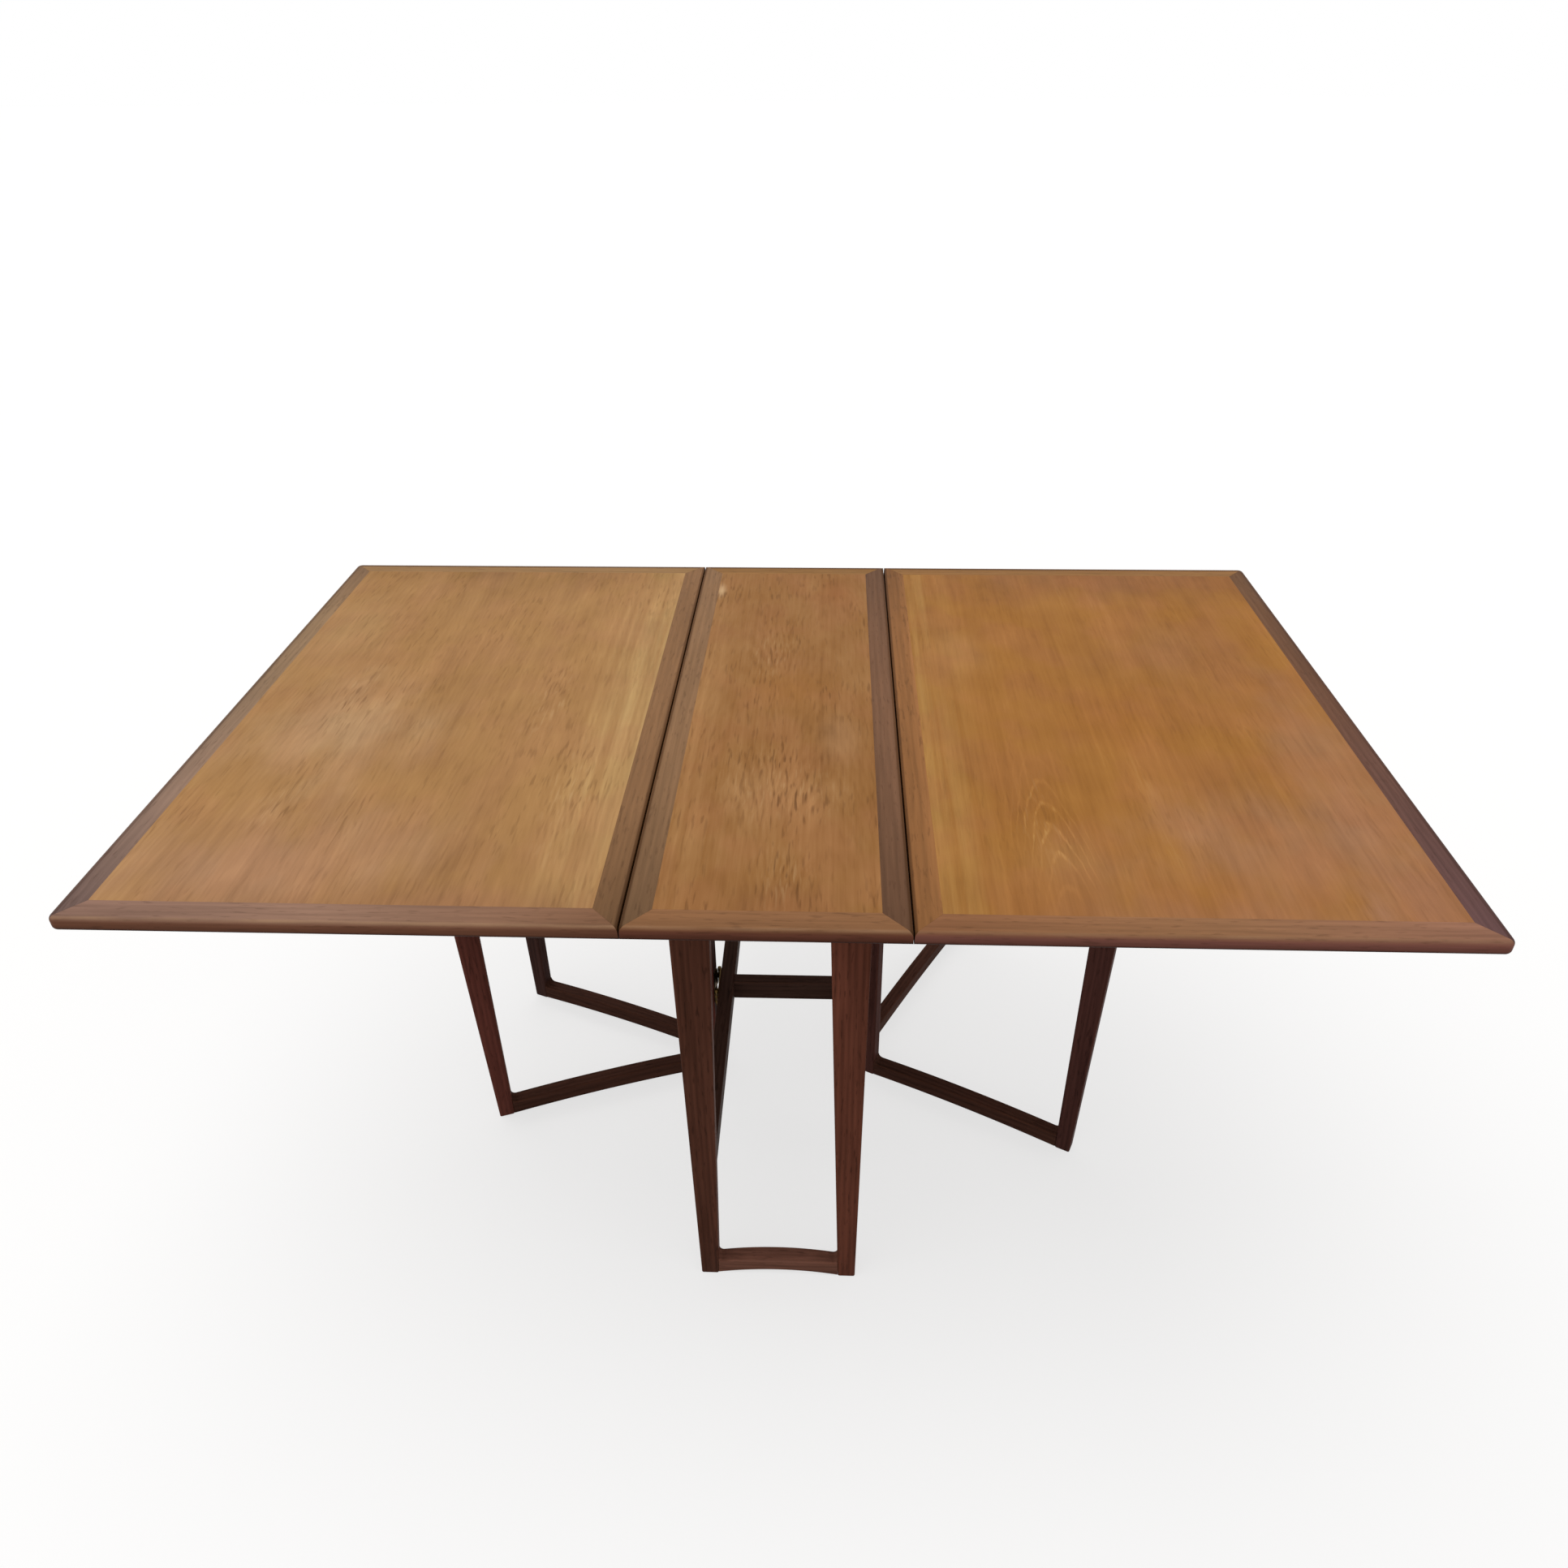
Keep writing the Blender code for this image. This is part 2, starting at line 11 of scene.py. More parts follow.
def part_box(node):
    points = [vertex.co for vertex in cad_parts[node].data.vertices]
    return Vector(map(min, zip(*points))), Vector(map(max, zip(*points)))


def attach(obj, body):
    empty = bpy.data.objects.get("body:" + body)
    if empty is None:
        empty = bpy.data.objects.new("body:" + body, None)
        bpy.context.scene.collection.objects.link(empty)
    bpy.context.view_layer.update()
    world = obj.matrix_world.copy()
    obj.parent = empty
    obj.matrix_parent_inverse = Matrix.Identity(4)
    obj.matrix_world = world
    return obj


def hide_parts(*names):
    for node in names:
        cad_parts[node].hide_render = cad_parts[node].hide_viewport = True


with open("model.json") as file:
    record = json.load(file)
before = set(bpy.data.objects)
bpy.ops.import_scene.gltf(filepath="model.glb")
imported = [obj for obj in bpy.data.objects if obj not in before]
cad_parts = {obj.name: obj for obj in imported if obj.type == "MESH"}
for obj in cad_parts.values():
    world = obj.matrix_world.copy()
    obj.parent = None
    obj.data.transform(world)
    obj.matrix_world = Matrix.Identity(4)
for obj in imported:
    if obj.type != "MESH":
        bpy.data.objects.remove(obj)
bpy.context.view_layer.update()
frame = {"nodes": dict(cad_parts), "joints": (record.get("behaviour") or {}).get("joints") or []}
mm = 0.001
print("frame loaded,", len(frame["nodes"]), "nodes")


# Helpers for colours, nodes and meshes

# an sRGB hex colour as linear red, green and blue
def linear(hexColour):
    srgb = np.array([int(hexColour[i:i + 2], 16) for i in (1, 3, 5)]) / 255
    return [float(c) for c in np.where(srgb <= 0.04045, srgb / 12.92, ((srgb + 0.055) / 1.055) ** 2.4)]


# a pattern that repeats about every so many millimetres, as scales for a Mapping node
def perMm(*sizes):
    return [1 / (size * mm) for size in sizes]


# adds a node, sets it up, links or fills its inputs by name or number, and gives one output, or the node
# itself when out is None
def addNode(tree, kind, inputs=None, out=0, stops=None, **settings):
    node = tree.nodes.new("ShaderNode" + kind)
    for key, value in settings.items():
        setattr(node, key, value)
    for socket, value in (inputs or {}).items():
        if isinstance(value, bpy.types.NodeSocket):
            tree.links.new(value, node.inputs[socket])
        else:
            node.inputs[socket].default_value = value
    if stops:
        ramp = node.color_ramp.elements
        while len(ramp) < len(stops):
            ramp.new(1.0)
        for element, (place, colour) in zip(ramp, stops):
            element.position = place
            element.color = (*linear(colour), 1)
    return node if out is None else node.outputs[out]


# an empty node material, and addNode for its tree
def newMaterial(name):
    material = bpy.data.materials.new(name)
    material.use_nodes = True
    material.node_tree.nodes.clear()
    return material, partial(addNode, material.node_tree)


sharpAngle = 32  # degrees: an edge that turns by more stays sharp


# vertices and faces into a smooth mesh object, with its own vertex attributes
def putMesh(name, points, faces, material, attributes=None):
    mesh = bpy.data.meshes.new(name)
    mesh.from_pydata(np.asarray(points).reshape(-1, 3), [], faces)
    for key, values in (attributes or {}).items():
        layer = mesh.attributes.new(key, "FLOAT" if values.ndim == 1 else "FLOAT_VECTOR", "POINT")
        layer.data.foreach_set("value" if values.ndim == 1 else "vector", values.astype(np.float32).ravel())
    bm = bmesh.new()
    bm.from_mesh(mesh)
    bmesh.ops.recalc_face_normals(bm, faces=bm.faces)
    bm.to_mesh(mesh)
    bm.free()
    mesh.shade_smooth()
    mesh.set_sharp_from_angle(angle=math.radians(sharpAngle))
    mesh.materials.append(material)
    obj = bpy.data.objects.new(name, mesh)
    bpy.context.collection.objects.link(obj)
    return obj


# quads between rows of a closed profile (rows, points round it), with a flat face at each end
def tubeFaces(rows, around):
    index = np.arange(rows * around).reshape(rows, around)
    after = np.roll(index, -1, axis=1)
    quads = np.stack([index[:-1], after[:-1], after[1:], index[1:]], axis=-1).reshape(-1, 4)
    return [*quads.tolist(), index[0].tolist(), index[-1].tolist()]


# Materials

# all the wood: noise levels of its sheen, depth of its pores against its fibres, and the oil's index
oiledWood = {"sheenFrom": (0.3, 0.7), "poreDepth": 1.5, "bumpDepth": 0.3, "ior": 1.5}


# a tone with noise fields added to it, each centred on nought and times its share
def addGrain(node, tone, field, shares):
    for key, share in shares.items():
        centred = node("Math", {0: field[key], 1: 0.5}, operation="SUBTRACT")
        tone = node("Math", {0: centred, 1: share, 2: tone}, operation="MULTIPLY_ADD")
    return tone


# an oiled face: sheen that changes in patches, raised fibres and sunken pores
def oilWood(node, wood, patchy, fibre, pores, look):
    (low, high), (smooth, rough) = look["sheenFrom"], look["roughness"]
    sheen = node("MapRange", {0: patchy, 1: low, 2: high, 3: smooth, 4: rough})
    relief = node("Math", {0: pores, 1: -look["poreDepth"], 2: fibre}, operation="MULTIPLY_ADD")
    bump = node("Bump", {"Height": relief, "Strength": look["bump"], "Distance": look["bumpDepth"] * mm})
    shader = node("BsdfPrincipled", {"Base Color": wood, "Roughness": sheen, "Normal": bump,
                                     "Specular IOR Level": look["specular"], "IOR": look["ior"]})
    node("OutputMaterial", {0: shader}, out=None)


# Crown-cut teak veneer, oiled and aged. To the eye: golden brown with long soft streaks, arched growth
# rings in the middle of each veneer leaf, short dark pores, and a dull satin sheen.
def teakVeneer(name, look):
    material, node = newMaterial(name)
    place = node("TexCoord", out="Object")
    axes = node("SeparateXYZ", {0: place}, out=None).outputs
    across, along = axes[0], axes[1]
    field = {}
    for key, (wide, long, detail) in look["grain"].items():
        scale = perMm(wide, long, look["grainDepth"])
        cells = node("Mapping", {0: place, "Scale": scale, "Location": look["seed"]})
        field[key] = node("TexNoise", {"Vector": cells, "Scale": 1.0, "Detail": detail})
    # soft patches with ragged rims: how far a point is inside an ellipse, from 1 in its middle to 0
    patches = []
    outside, inside = look["rimFade"]
    for x, y, wide, long in look["crowns"] + [patch[:4] for patch in look["tints"]]:
        local = node("Mapping", {0: place, "Location": (-x / wide, -y / long, 0),
                                 "Scale": (*perMm(wide, long), 0)})
        rim = node("VectorMath", {0: local}, out="Value", operation="LENGTH")
        rim = node("Math", {0: field["rim"], 1: look["rimRagged"], 2: rim}, operation="MULTIPLY_ADD")
        patches.append(node("MapRange", {0: rim, 1: outside, 2: inside}, interpolation_type="SMOOTHSTEP"))
    count = len(look["crowns"])
    crowns, tints = patches[:count], patches[count:]
    crown = 0.0
    for mask in crowns:
        crown = node("Math", {0: mask, 1: crown}, operation="MAXIMUM")

    # the veneer leaf that a point lies on, and how far it is from that leaf's middle
    start, wide = look["from"] * mm, look["leafWidth"] * mm
    leafShare = node("MapRange", {0: across, 1: start, 2: start + wide}, clamp=False)
    leafNumber = node("Math", {0: leafShare, 1: look["leafSeed"]}, operation="ADD")
    leafNumber = node("Math", {0: leafNumber}, operation="FLOOR")
    leafOwn = node("TexWhiteNoise", {"W": leafNumber}, noise_dimensions="1D")
    fromMiddle = node("Math", {0: leafShare}, operation="FRACT")
    fromMiddle = node("MapRange", {0: fromMiddle, 3: -wide / 2, 4: wide / 2})
    wander = node("Math", {0: field["wander"], 1: 0.5}, operation="SUBTRACT")
    fromMiddle = node("Math", {0: wander, 1: look["wander"] * mm, 2: fromMiddle}, operation="MULTIPLY_ADD")
    # arched rings: distance from the pith of a log that tapers along the grain, broken into dashes
    offPith = node("CombineXYZ", {0: fromMiddle, 1: look["pithDepth"] * mm})
    offPith = node("VectorMath", {0: offPith}, out="Value", operation="LENGTH")
    taper = node("Math", {0: along, 1: look["taper"], 2: offPith}, operation="MULTIPLY_ADD")
    ragged = node("Math", {0: field["ragged"], 1: look["ragged"] * mm, 2: taper}, operation="MULTIPLY_ADD")
    ring = node("Math", {0: ragged, 1: look["ringWidth"] * mm}, operation="DIVIDE")
    ring = node("Math", {0: ring, 1: leafOwn}, operation="ADD")
    ring = node("Math", {0: ring, 1: look["ringShift"]}, operation="ADD")
    ring = node("Math", {0: ring, 1: 0.5}, operation="PINGPONG")
    dull, clear, low, high = look["ringLine"]
    late = node("MapRange", {0: ring, 1: dull, 2: clear, 3: low, 4: high}, interpolation_type="SMOOTHSTEP")
    low, high, least = look["ringBreaks"]
    broken = node("MapRange", {0: field["dash"], 1: low, 2: high, 3: least})
    late = node("Math", {0: late, 1: broken}, operation="MULTIPLY")
    figure = node("Math", {0: crown, 1: look["crownFigure"], 2: look["plainFigure"]},
                  operation="MULTIPLY_ADD")
    tone = node("Math", {0: late, 1: figure, 2: look["tone"]}, operation="MULTIPLY_ADD")
    tone = addGrain(node, tone, field, look["shares"])
    wood = node("ValToRGB", {0: tone}, stops=look["stops"])

    # the pale sap strip along the seam, then tints and red flushes: they all keep the grain. A few tints are
    # painted light: a sheen towards the front and shade along the back.
    lively = node("Math", {0: tone, 1: 1 - look["tone"]}, operation="ADD")
    sap = node("MapRange", {0: across, 1: look["sapFrom"] * mm, 2: look["sapTo"] * mm, 4: look["sapShare"]},
               interpolation_type="SMOOTHSTEP")
    low, high, least = look["sapStreaks"]
    streaky = node("MapRange", {0: field["streak"], 1: low, 2: high, 3: least})
    masks = [node("Math", {0: sap, 1: streaky}, operation="MULTIPLY")]
    for mask, patch in zip(tints, look["tints"]):
        masks.append(node("Math", {0: mask, 1: patch[4]}, operation="MULTIPLY"))
    low, high = look["flushFrom"]
    masks.append(node("MapRange", {0: field["flush"], 1: low, 2: high, 4: look["flushShare"]},
                      interpolation_type="SMOOTHSTEP"))
    colours = [look["sap"], *(patch[5] for patch in look["tints"]), look["flush"]]
    for mask, colour in zip(masks, colours):
        tinted = node("VectorMath", {0: linear(colour), "Scale": lively}, operation="SCALE")
        wood = node("Mix", {0: mask, 6: wood, 7: tinted}, out=2, data_type="RGBA")
    # pores: short dark dashes, thickest in the crowns, where pale flecks lie among them
    low, high = look["fleckFrom"]
    fleck = node("MapRange", {0: field["dash"], 1: low, 2: high, 4: look["fleckShare"]})
    fleck = node("Math", {0: fleck, 1: crown}, operation="MULTIPLY")
    wood = node("Mix", {0: fleck, 6: wood, 7: (*linear(look["fleck"]), 1)}, out=2, data_type="RGBA")
    low, high = look["poreFrom"]
    dash = node("MapRange", {0: field["dash"], 1: low, 2: high})
    low, high = look["poreBands"]
    band = node("MapRange", {0: field["band"], 1: low, 2: high, 3: look["porePlain"], 4: look["poreShare"]})
    band = node("Math", {0: crown, 1: look["poreCrown"], 2: band}, operation="MULTIPLY_ADD")
    pores = node("Math", {0: dash, 1: band}, operation="MULTIPLY")
    wood = node("Mix", {0: pores, 6: wood, 7: (*linear(look["pore"]), 1)}, out=2, data_type="RGBA")
    # the underside, whose faces look down, has a plainer backing veneer
    facing = node("SeparateXYZ", {0: node("NewGeometry", out="True Normal")}, out="Z")
    below = node("Math", {0: facing, 1: -0.5}, operation="LESS_THAN")
    backing = node("ValToRGB", {0: tone}, stops=look["backing"])
    wood = node("Mix", {0: below, 6: wood, 7: backing}, out=2, data_type="RGBA")
    oilWood(node, wood, field["band"], field["fibre"], pores, look)
    return material


# both solid woods: slant of the rings, noise levels of pores and of the arrises' wear and painted highlight,
# and strength of the relief
planedTeak = {**oiledWood, "slant": 0.6, "poreFrom": (0.60, 0.72), "wornAndHighlitFrom": (0.35, 0.65), "bump": 0.18}


# Solid teak, planed, stained and oiled. To the eye: dark streaks along each piece, a few pores, arrises a
# little lighter, worn and on the lippings with a painted highlight, and a soft gleam. Its colour is the
# piece's own stain, which on the lippings' edges carries painted shade too.
def solidTeak(name, look):
    material, node = newMaterial(name)
    grain = node("Attribute", out="Vector", attribute_name="grain")
    stain = node("Attribute", out="Vector", attribute_name="stain")
    wearAndHighlight = node("Attribute", out="Fac", attribute_name="wearAndHighlight")
    field = {}
    for key, (wide, long, detail) in look["grain"].items():
        cells = node("Mapping", {0: grain, "Scale": perMm(wide, wide, long)})
        field[key] = node("TexNoise", {"Vector": cells, "Scale": 1.0, "Detail": detail})

    # growth rings cut at a slant, as straight bands along the piece
    axes = node("SeparateXYZ", {0: grain}, out=None).outputs
    slanted = node("Math", {0: axes[1], 1: look["slant"], 2: axes[0]}, operation="MULTIPLY_ADD")
    ragged = node("Math", {0: field["ragged"], 1: look["ragged"] * mm, 2: slanted}, operation="MULTIPLY_ADD")
    ring = node("Math", {0: ragged, 1: look["ringWidth"] * mm}, operation="DIVIDE")
    ring = node("Math", {0: ring, 1: 0.5}, operation="PINGPONG")
    late = node("MapRange", {0: ring, 2: 0.5, 3: -0.5, 4: 0.5}, interpolation_type="SMOOTHSTEP")
    tone = node("Math", {0: late, 1: look["ringShare"], 2: 1.0}, operation="MULTIPLY_ADD")
    tone = addGrain(node, tone, field, look["shares"])
    wood = node("VectorMath", {0: stain, "Scale": tone}, operation="SCALE")
    low, high = look["poreFrom"]
    pores = node("MapRange", {0: field["dash"], 1: low, 2: high, 4: look["poreShare"]})
    wood = node("Mix", {0: pores, 6: wood, 7: (*linear(look["pore"]), 1)}, out=2, data_type="RGBA")
    # the pale arrises: wear, and on the lippings a painted highlight along the upper arris, most at the front
    (low, high), (least, most) = look["wornAndHighlitFrom"], look["wearAndHighlightShare"]
    uneven = node("MapRange", {0: field["wornAndHighlit"], 1: low, 2: high, 3: least, 4: most})
    wornAndHighlit = node("Math", {0: wearAndHighlight, 1: uneven}, operation="MULTIPLY")
    wood = node("Mix", {0: wornAndHighlit, 6: wood, 7: (*linear(look["wearAndHighlight"]), 1)}, out=2, data_type="RGBA")
    oilWood(node, wood, field["wornAndHighlit"], field["fibre"], pores, look)
    return material


# Brass plate, rolled and lacquered long ago. To the eye: dull yellow metal with brown tarnish in
# clouds and faint rolling lines.
def agedBrass(name, look):
    material, node = newMaterial(name)
    place = node("TexCoord", out="Object")
    field = {}
    for key, (x, y, z, detail) in look["grain"].items():
        cells = node("Mapping", {0: place, "Scale": perMm(x, y, z)})
        field[key] = node("TexNoise", {"Vector": cells, "Scale": 1.0, "Detail": detail})
    metal = node("ValToRGB", {0: field["cloud"]}, stops=look["stops"])
    (low, high), (dull, bright) = look["sheenFrom"], look["roughness"]
    sheen = node("MapRange", {0: field["cloud"], 1: low, 2: high, 3: dull, 4: bright})
    bump = node("Bump", {"Height": field["lines"], "Strength": look["bump"],
                         "Distance": look["bumpDepth"] * mm})
    shader = node("BsdfPrincipled", {"Base Color": metal, "Metallic": 1.0, "Roughness": sheen,
                                     "Normal": bump})
    node("OutputMaterial", {0: shader}, out=None)
    return material


# Table top: three veneered boards that stay as solids, ringed by new mitred lippings

# sizes in millimetres. Patches are (x, y, half width, half length), and tints add a share and a colour.
# Grain is (across, along, detail). Real fibres and pores are finer: they are drawn as coarse as the render
# shows. Pairs such as poreFrom are the noise levels where a thing begins and where it is full, and rimFade
# is the same in radii of a patch. ringBreaks and sapStreaks add the least that is left.
boardLooks = {
    "shared": {**oiledWood, "wander": 22, "ringWidth": 6, "pithDepth": 55, "taper": 0.11, "ragged": 7,
               "grain": {"wander": (150, 420, 2), "ragged": (24, 80, 3), "fibre": (4.5, 120, 4),
                         "streak": (13, 600, 3), "broad": (170, 330, 2), "dash": (4.2, 34, 1),
                         "band": (70, 160, 2), "rim": (60, 110, 3), "mottle": (48, 75, 2),
                         "flush": (75, 95, 2)},
               "grainDepth": 1000, "rimRagged": 0.9, "rimFade": (1.35, 0.45),
               "shares": {"fibre": 0.34, "streak": 0.36, "broad": 0.45, "mottle": 0.4},
               "ringLine": (0.08, 0.42, -0.5, 0.5), "ringShift": 0.0, "ringBreaks": (0.38, 0.56, 0.3),
               "sapStreaks": (0.35, 0.65, 0.25), "flushFrom": (0.40, 0.64), "flushShare": 0.3,
               "plainFigure": 0.05, "crownFigure": 0.2, "porePlain": 0.05, "poreCrown": 0.25,
               "pore": "#55331A", "poreFrom": (0.56, 0.70), "poreBands": (0.40, 0.66),
               "fleck": "#CBA677", "fleckFrom": (0.42, 0.28), "fleckShare": 0.35,
               "roughness": (0.41, 0.52), "specular": 0.03, "bump": 0.2,
               "backing": ((0.1, "#6A4528"), (0.9, "#8C6340"))},
    "left_leaf": {"from": -768, "leafWidth": 287, "seed": (3.1, 7.7, 0), "leafSeed": 4.0, "tone": 0.50,
                  "stops": ((0.1, "#885E37"), (0.4, "#A37849"), (0.6, "#AD8150"), (0.9, "#BF955F")),
                  "crowns": [(-340, 0, 48, 170), (-632, 10, 40, 130), (-630, -280, 45, 110),
                             (-270, -220, 55, 240)],
                  # tints at (-600, -400) and (-620, -80) are a painted sheen, and the dark strip along the
                  # back at (-490, 470) is painted shade
                  "tints": [(-600, -400, 330, 200, 0.6, "#A98066"), (-720, 200, 130, 220, 0.5, "#B28C5E"),
                            (-490, 470, 560, 140, 0.7, "#90683A"), (-620, -80, 230, 220, 0.7, "#C09A72"),
                            (-450, -340, 170, 130, 0.4, "#AE8460"), (-220, -360, 45, 120, 0.55, "#A0744C"),
                            (-380, -464, 420, 80, 0.8, "#986C4A"), (-220, 410, 60, 130, 0.75, "#9C7848")],
                  "flush": "#AC7B54", "sap": "#BE9A66", "sapFrom": -300, "sapTo": -205, "sapShare": 0.85,
                  "crownFigure": 0.10, "poreShare": 0.26, "poreCrown": 0.18},
    "centre": {"from": -128, "leafWidth": 128, "seed": (11.3, 2.9, 0), "leafSeed": 9.0, "tone": 0.48,
               "stops": ((0.1, "#784D24"), (0.4, "#956739"), (0.6, "#9F7244"), (0.9, "#B28656")),
               "crowns": [(0, -210, 125, 150), (20, -390, 70, 90), (-20, 150, 60, 130)],
               # the dark tint along the back at (0, 470) is painted shade
               "tints": [(10, 40, 105, 100, 0.55, "#9C6833"), (0, -235, 110, 115, 0.5, "#A87D52"),
                         (75, 375, 60, 100, 0.65, "#935B33"), (85, -90, 45, 120, 0.6, "#A87C53"),
                         (25, -450, 130, 75, 0.8, "#8A5D36"), (0, 470, 150, 140, 0.5, "#8E6036"),
                         (-123, 386, 13, 48, 0.95, "#CFAC80")],
               "flush": "#A06A44", "sap": "#AA7E50", "sapFrom": -70, "sapTo": -126, "sapShare": 0.5,
               "crownFigure": 0.14, "poreShare": 0.45, "porePlain": 0.09, "fleckShare": 0.28},
    "right_leaf": {"from": 194, "leafWidth": 287, "seed": (6.4, 15.2, 0), "leafSeed": 2.0, "tone": 0.48,
                   "stops": ((0.1, "#835325"), (0.4, "#9D6931"), (0.6, "#A77237"), (0.9, "#BB8E50")),
                   "crowns": [(335, -300, 70, 185)],
                   # the pinkish tint at (630, -320) is a painted sheen on the front, and the dark strip along
                   # the back at (540, 450) is painted shade
                   "tints": [(470, -30, 140, 150, 0.5, "#A56A33"), (630, -320, 310, 230, 0.7, "#A37658"),
                             (600, 160, 190, 200, 0.7, "#9A6A42"), (540, 450, 460, 170, 0.85, "#8A5C38"),
                             (260, 170, 90, 170, 0.5, "#B0804E"), (350, -370, 110, 110, 0.5, "#AC7D50"),
                             (520, -464, 430, 75, 0.7, "#9B6E50"), (725, -170, 120, 360, 0.7, "#A47758"),
                             (745, -435, 130, 130, 0.7, "#9E7258")],
                   "flush": "#A46A42", "sap": "#B0864C", "sapFrom": 290, "sapTo": 205, "sapShare": 0.65,
                   "pithDepth": 38, "ringLine": (0.31, 0.47, 0.0, 1.0), "ringShift": 0.113,
                   "plainFigure": 0.03, "crownFigure": 0.3,
                   "poreShare": 0.13, "porePlain": 0.02, "poreCrown": 0.08, "fleckShare": 0.1,
                   "shares": {"fibre": 0.32, "streak": 0.32, "broad": 0.45, "mottle": 0.36}},
}
for board in ("left_leaf", "centre", "right_leaf"):
    veneer = teakVeneer("teak_veneer_" + board, {**boardLooks["shared"], **boardLooks[board]})
    panelNode = frame["nodes"][board + "_panel"]
    panelNode.material_slots[0].material = veneer
print("veneered boards finished")

# a lipping's own name goes before its kind. The rows in flats and seamEndRows are in millimetres.
lippingLook = {
    "seamWidth": 0.05 * mm, "mitreGap": 0.08 * mm, "edgeRadius": 6 * mm, "edgeFlat": 2 * mm,
    "seamEase": 1.2 * mm, "seamLean": 0.75 * mm, "seamLeanReach": 3 * mm, "cornerRadius": 10 * mm,
    "grooveDepth": 6.4 * mm, "grooveHeight": 6.6 * mm, "grooveClear": 0.4 * mm,
    "arcSteps": 8, "lengthRows": 10,
    "flats": (12, 9, 7.5, 6, 5, 4.4, 3.6, 2.4), "seamEndRows": (0, 0.4, 0.9, 1.6, 2.6, 4, 6),
    # zones: 0 at the joint with the board, 1 on top, 2 on the edge, stain and painted shade, 3 at the lower
    # arris, painted shade, 4 on the underside
    "innerReach": {"front": 18 * mm, "rear": 8 * mm, "outer": 12 * mm, "seam": 12 * mm},
    # edge darkness reaching in over the top, a painted shade along rear and outer silhouettes and in seams:
    # most within the first distance, none past the second
    "edgeShadeFrom": {"front": (0, 1 * mm), "rear": (8.5 * mm, 12 * mm), "outer": (6.5 * mm, 9 * mm),
                      "seam": (2.4 * mm, 4.4 * mm)},
    # edgeZones: the edge darker towards its bottom, a painted shade
    "flatZone": 1.8, "upperZone": 0.6, "edgeZones": (2, 2.25), "wearAndHighlightTurn": np.pi / 3,
    "lowerZones": ((0, 0.4, 1.2, np.pi / 2), (2.4, 3, 3, 4)), "loweredZone": 1.2, "loweredMost": 0.8,
    # the lower arris is a painted shade; the edge colours below are stain with painted shade, darker on rear
    # and outer edges
    "lowerArrisShade": "#3A1C12", "underStain": "#6E4830",
    "edgeStainsAndShade": {"front": "#744636", "rear": "#4A2C1E", "outer": "#40271E", "seam": "#56361C",
                   "left_leaf_front": "#835641", "right_leaf_front": "#89574B"},
    # how much each lipping's upper arris takes the pale colour: wear with a painted highlight, strongest at
    # the front
    "wearAndHighlightShares": {"front": 1.0, "rear": 0.2, "outer": 0.0, "seam": 0.0,
                     "left_leaf_front": 1.35, "right_leaf_front": 0.6},
    "innerShades": {"front": 1.12, "rear": 1.1, "outer": 1.1, "seam": 0.9,
                    "left_leaf_hinge": 1.0, "centre_left": 1.02, "left_leaf_front": 1.22,
                    "right_leaf_front": 1.25, "right_leaf_hinge": 1.25},
    # one stain, or several from its front or left end to its other end
    "stains": {
        "centre_front": "#855D3E", "centre_rear": "#8E663B", "centre_left": "#8D6A4B",
        "centre_right": "#7A5740",
        "left_leaf_front": ("#886859", "#93715D", "#825C43"), "left_leaf_rear": "#97734B",
        "left_leaf_hinge": "#896444",
        "left_leaf_outer": ("#6C5650", "#907462", "#8A6F56", "#957758", "#7C5E44"),
        "right_leaf_front": ("#84593C", "#906747", "#906652"), "right_leaf_rear": "#92683D",
        "right_leaf_hinge": "#8E6039", "right_leaf_outer": ("#684B4A", "#6C4A38", "#6C4C33"),
    },
    # how some run darker or paler from their front or left end to their other end
    "alongShades": {"left_leaf_front": (1, 1, 1, 1, 0.88),
                    "centre_left": (0.55, 0.92, 1.0, 1.0, 0.92),
                    "centre_right": (0.64, 0.9, 1.03, 0.92, 0.74),
                    "left_leaf_hinge": (0.6, 1.0, 1.03, 0.97, 1.04),
                    "right_leaf_hinge": (0.95, 1.06, 1.04, 1.0, 0.78)},
    "finish": {"grain": {"ragged": (30, 200, 3), "fibre": (3.5, 90, 4), "broad": (22, 300, 2),
                         "dash": (3.2, 22, 1), "wornAndHighlit": (10, 70, 3)},
               "shares": {"fibre": 0.5, "broad": 0.45}, "ringWidth": 9, "ragged": 12, "ringShare": 0.10,
               # the pale arris colour and its share: wear with a painted highlight
               "pore": "#3C2416", "poreShare": 0.25, "wearAndHighlight": "#B08A6A", "wearAndHighlightShare": (0.1, 0.45),
               "roughness": (0.40, 0.52), "specular": 0.03},
}
lippingTeak = solidTeak("oiled_teak_lipping", {**planedTeak, **lippingLook["finish"]})


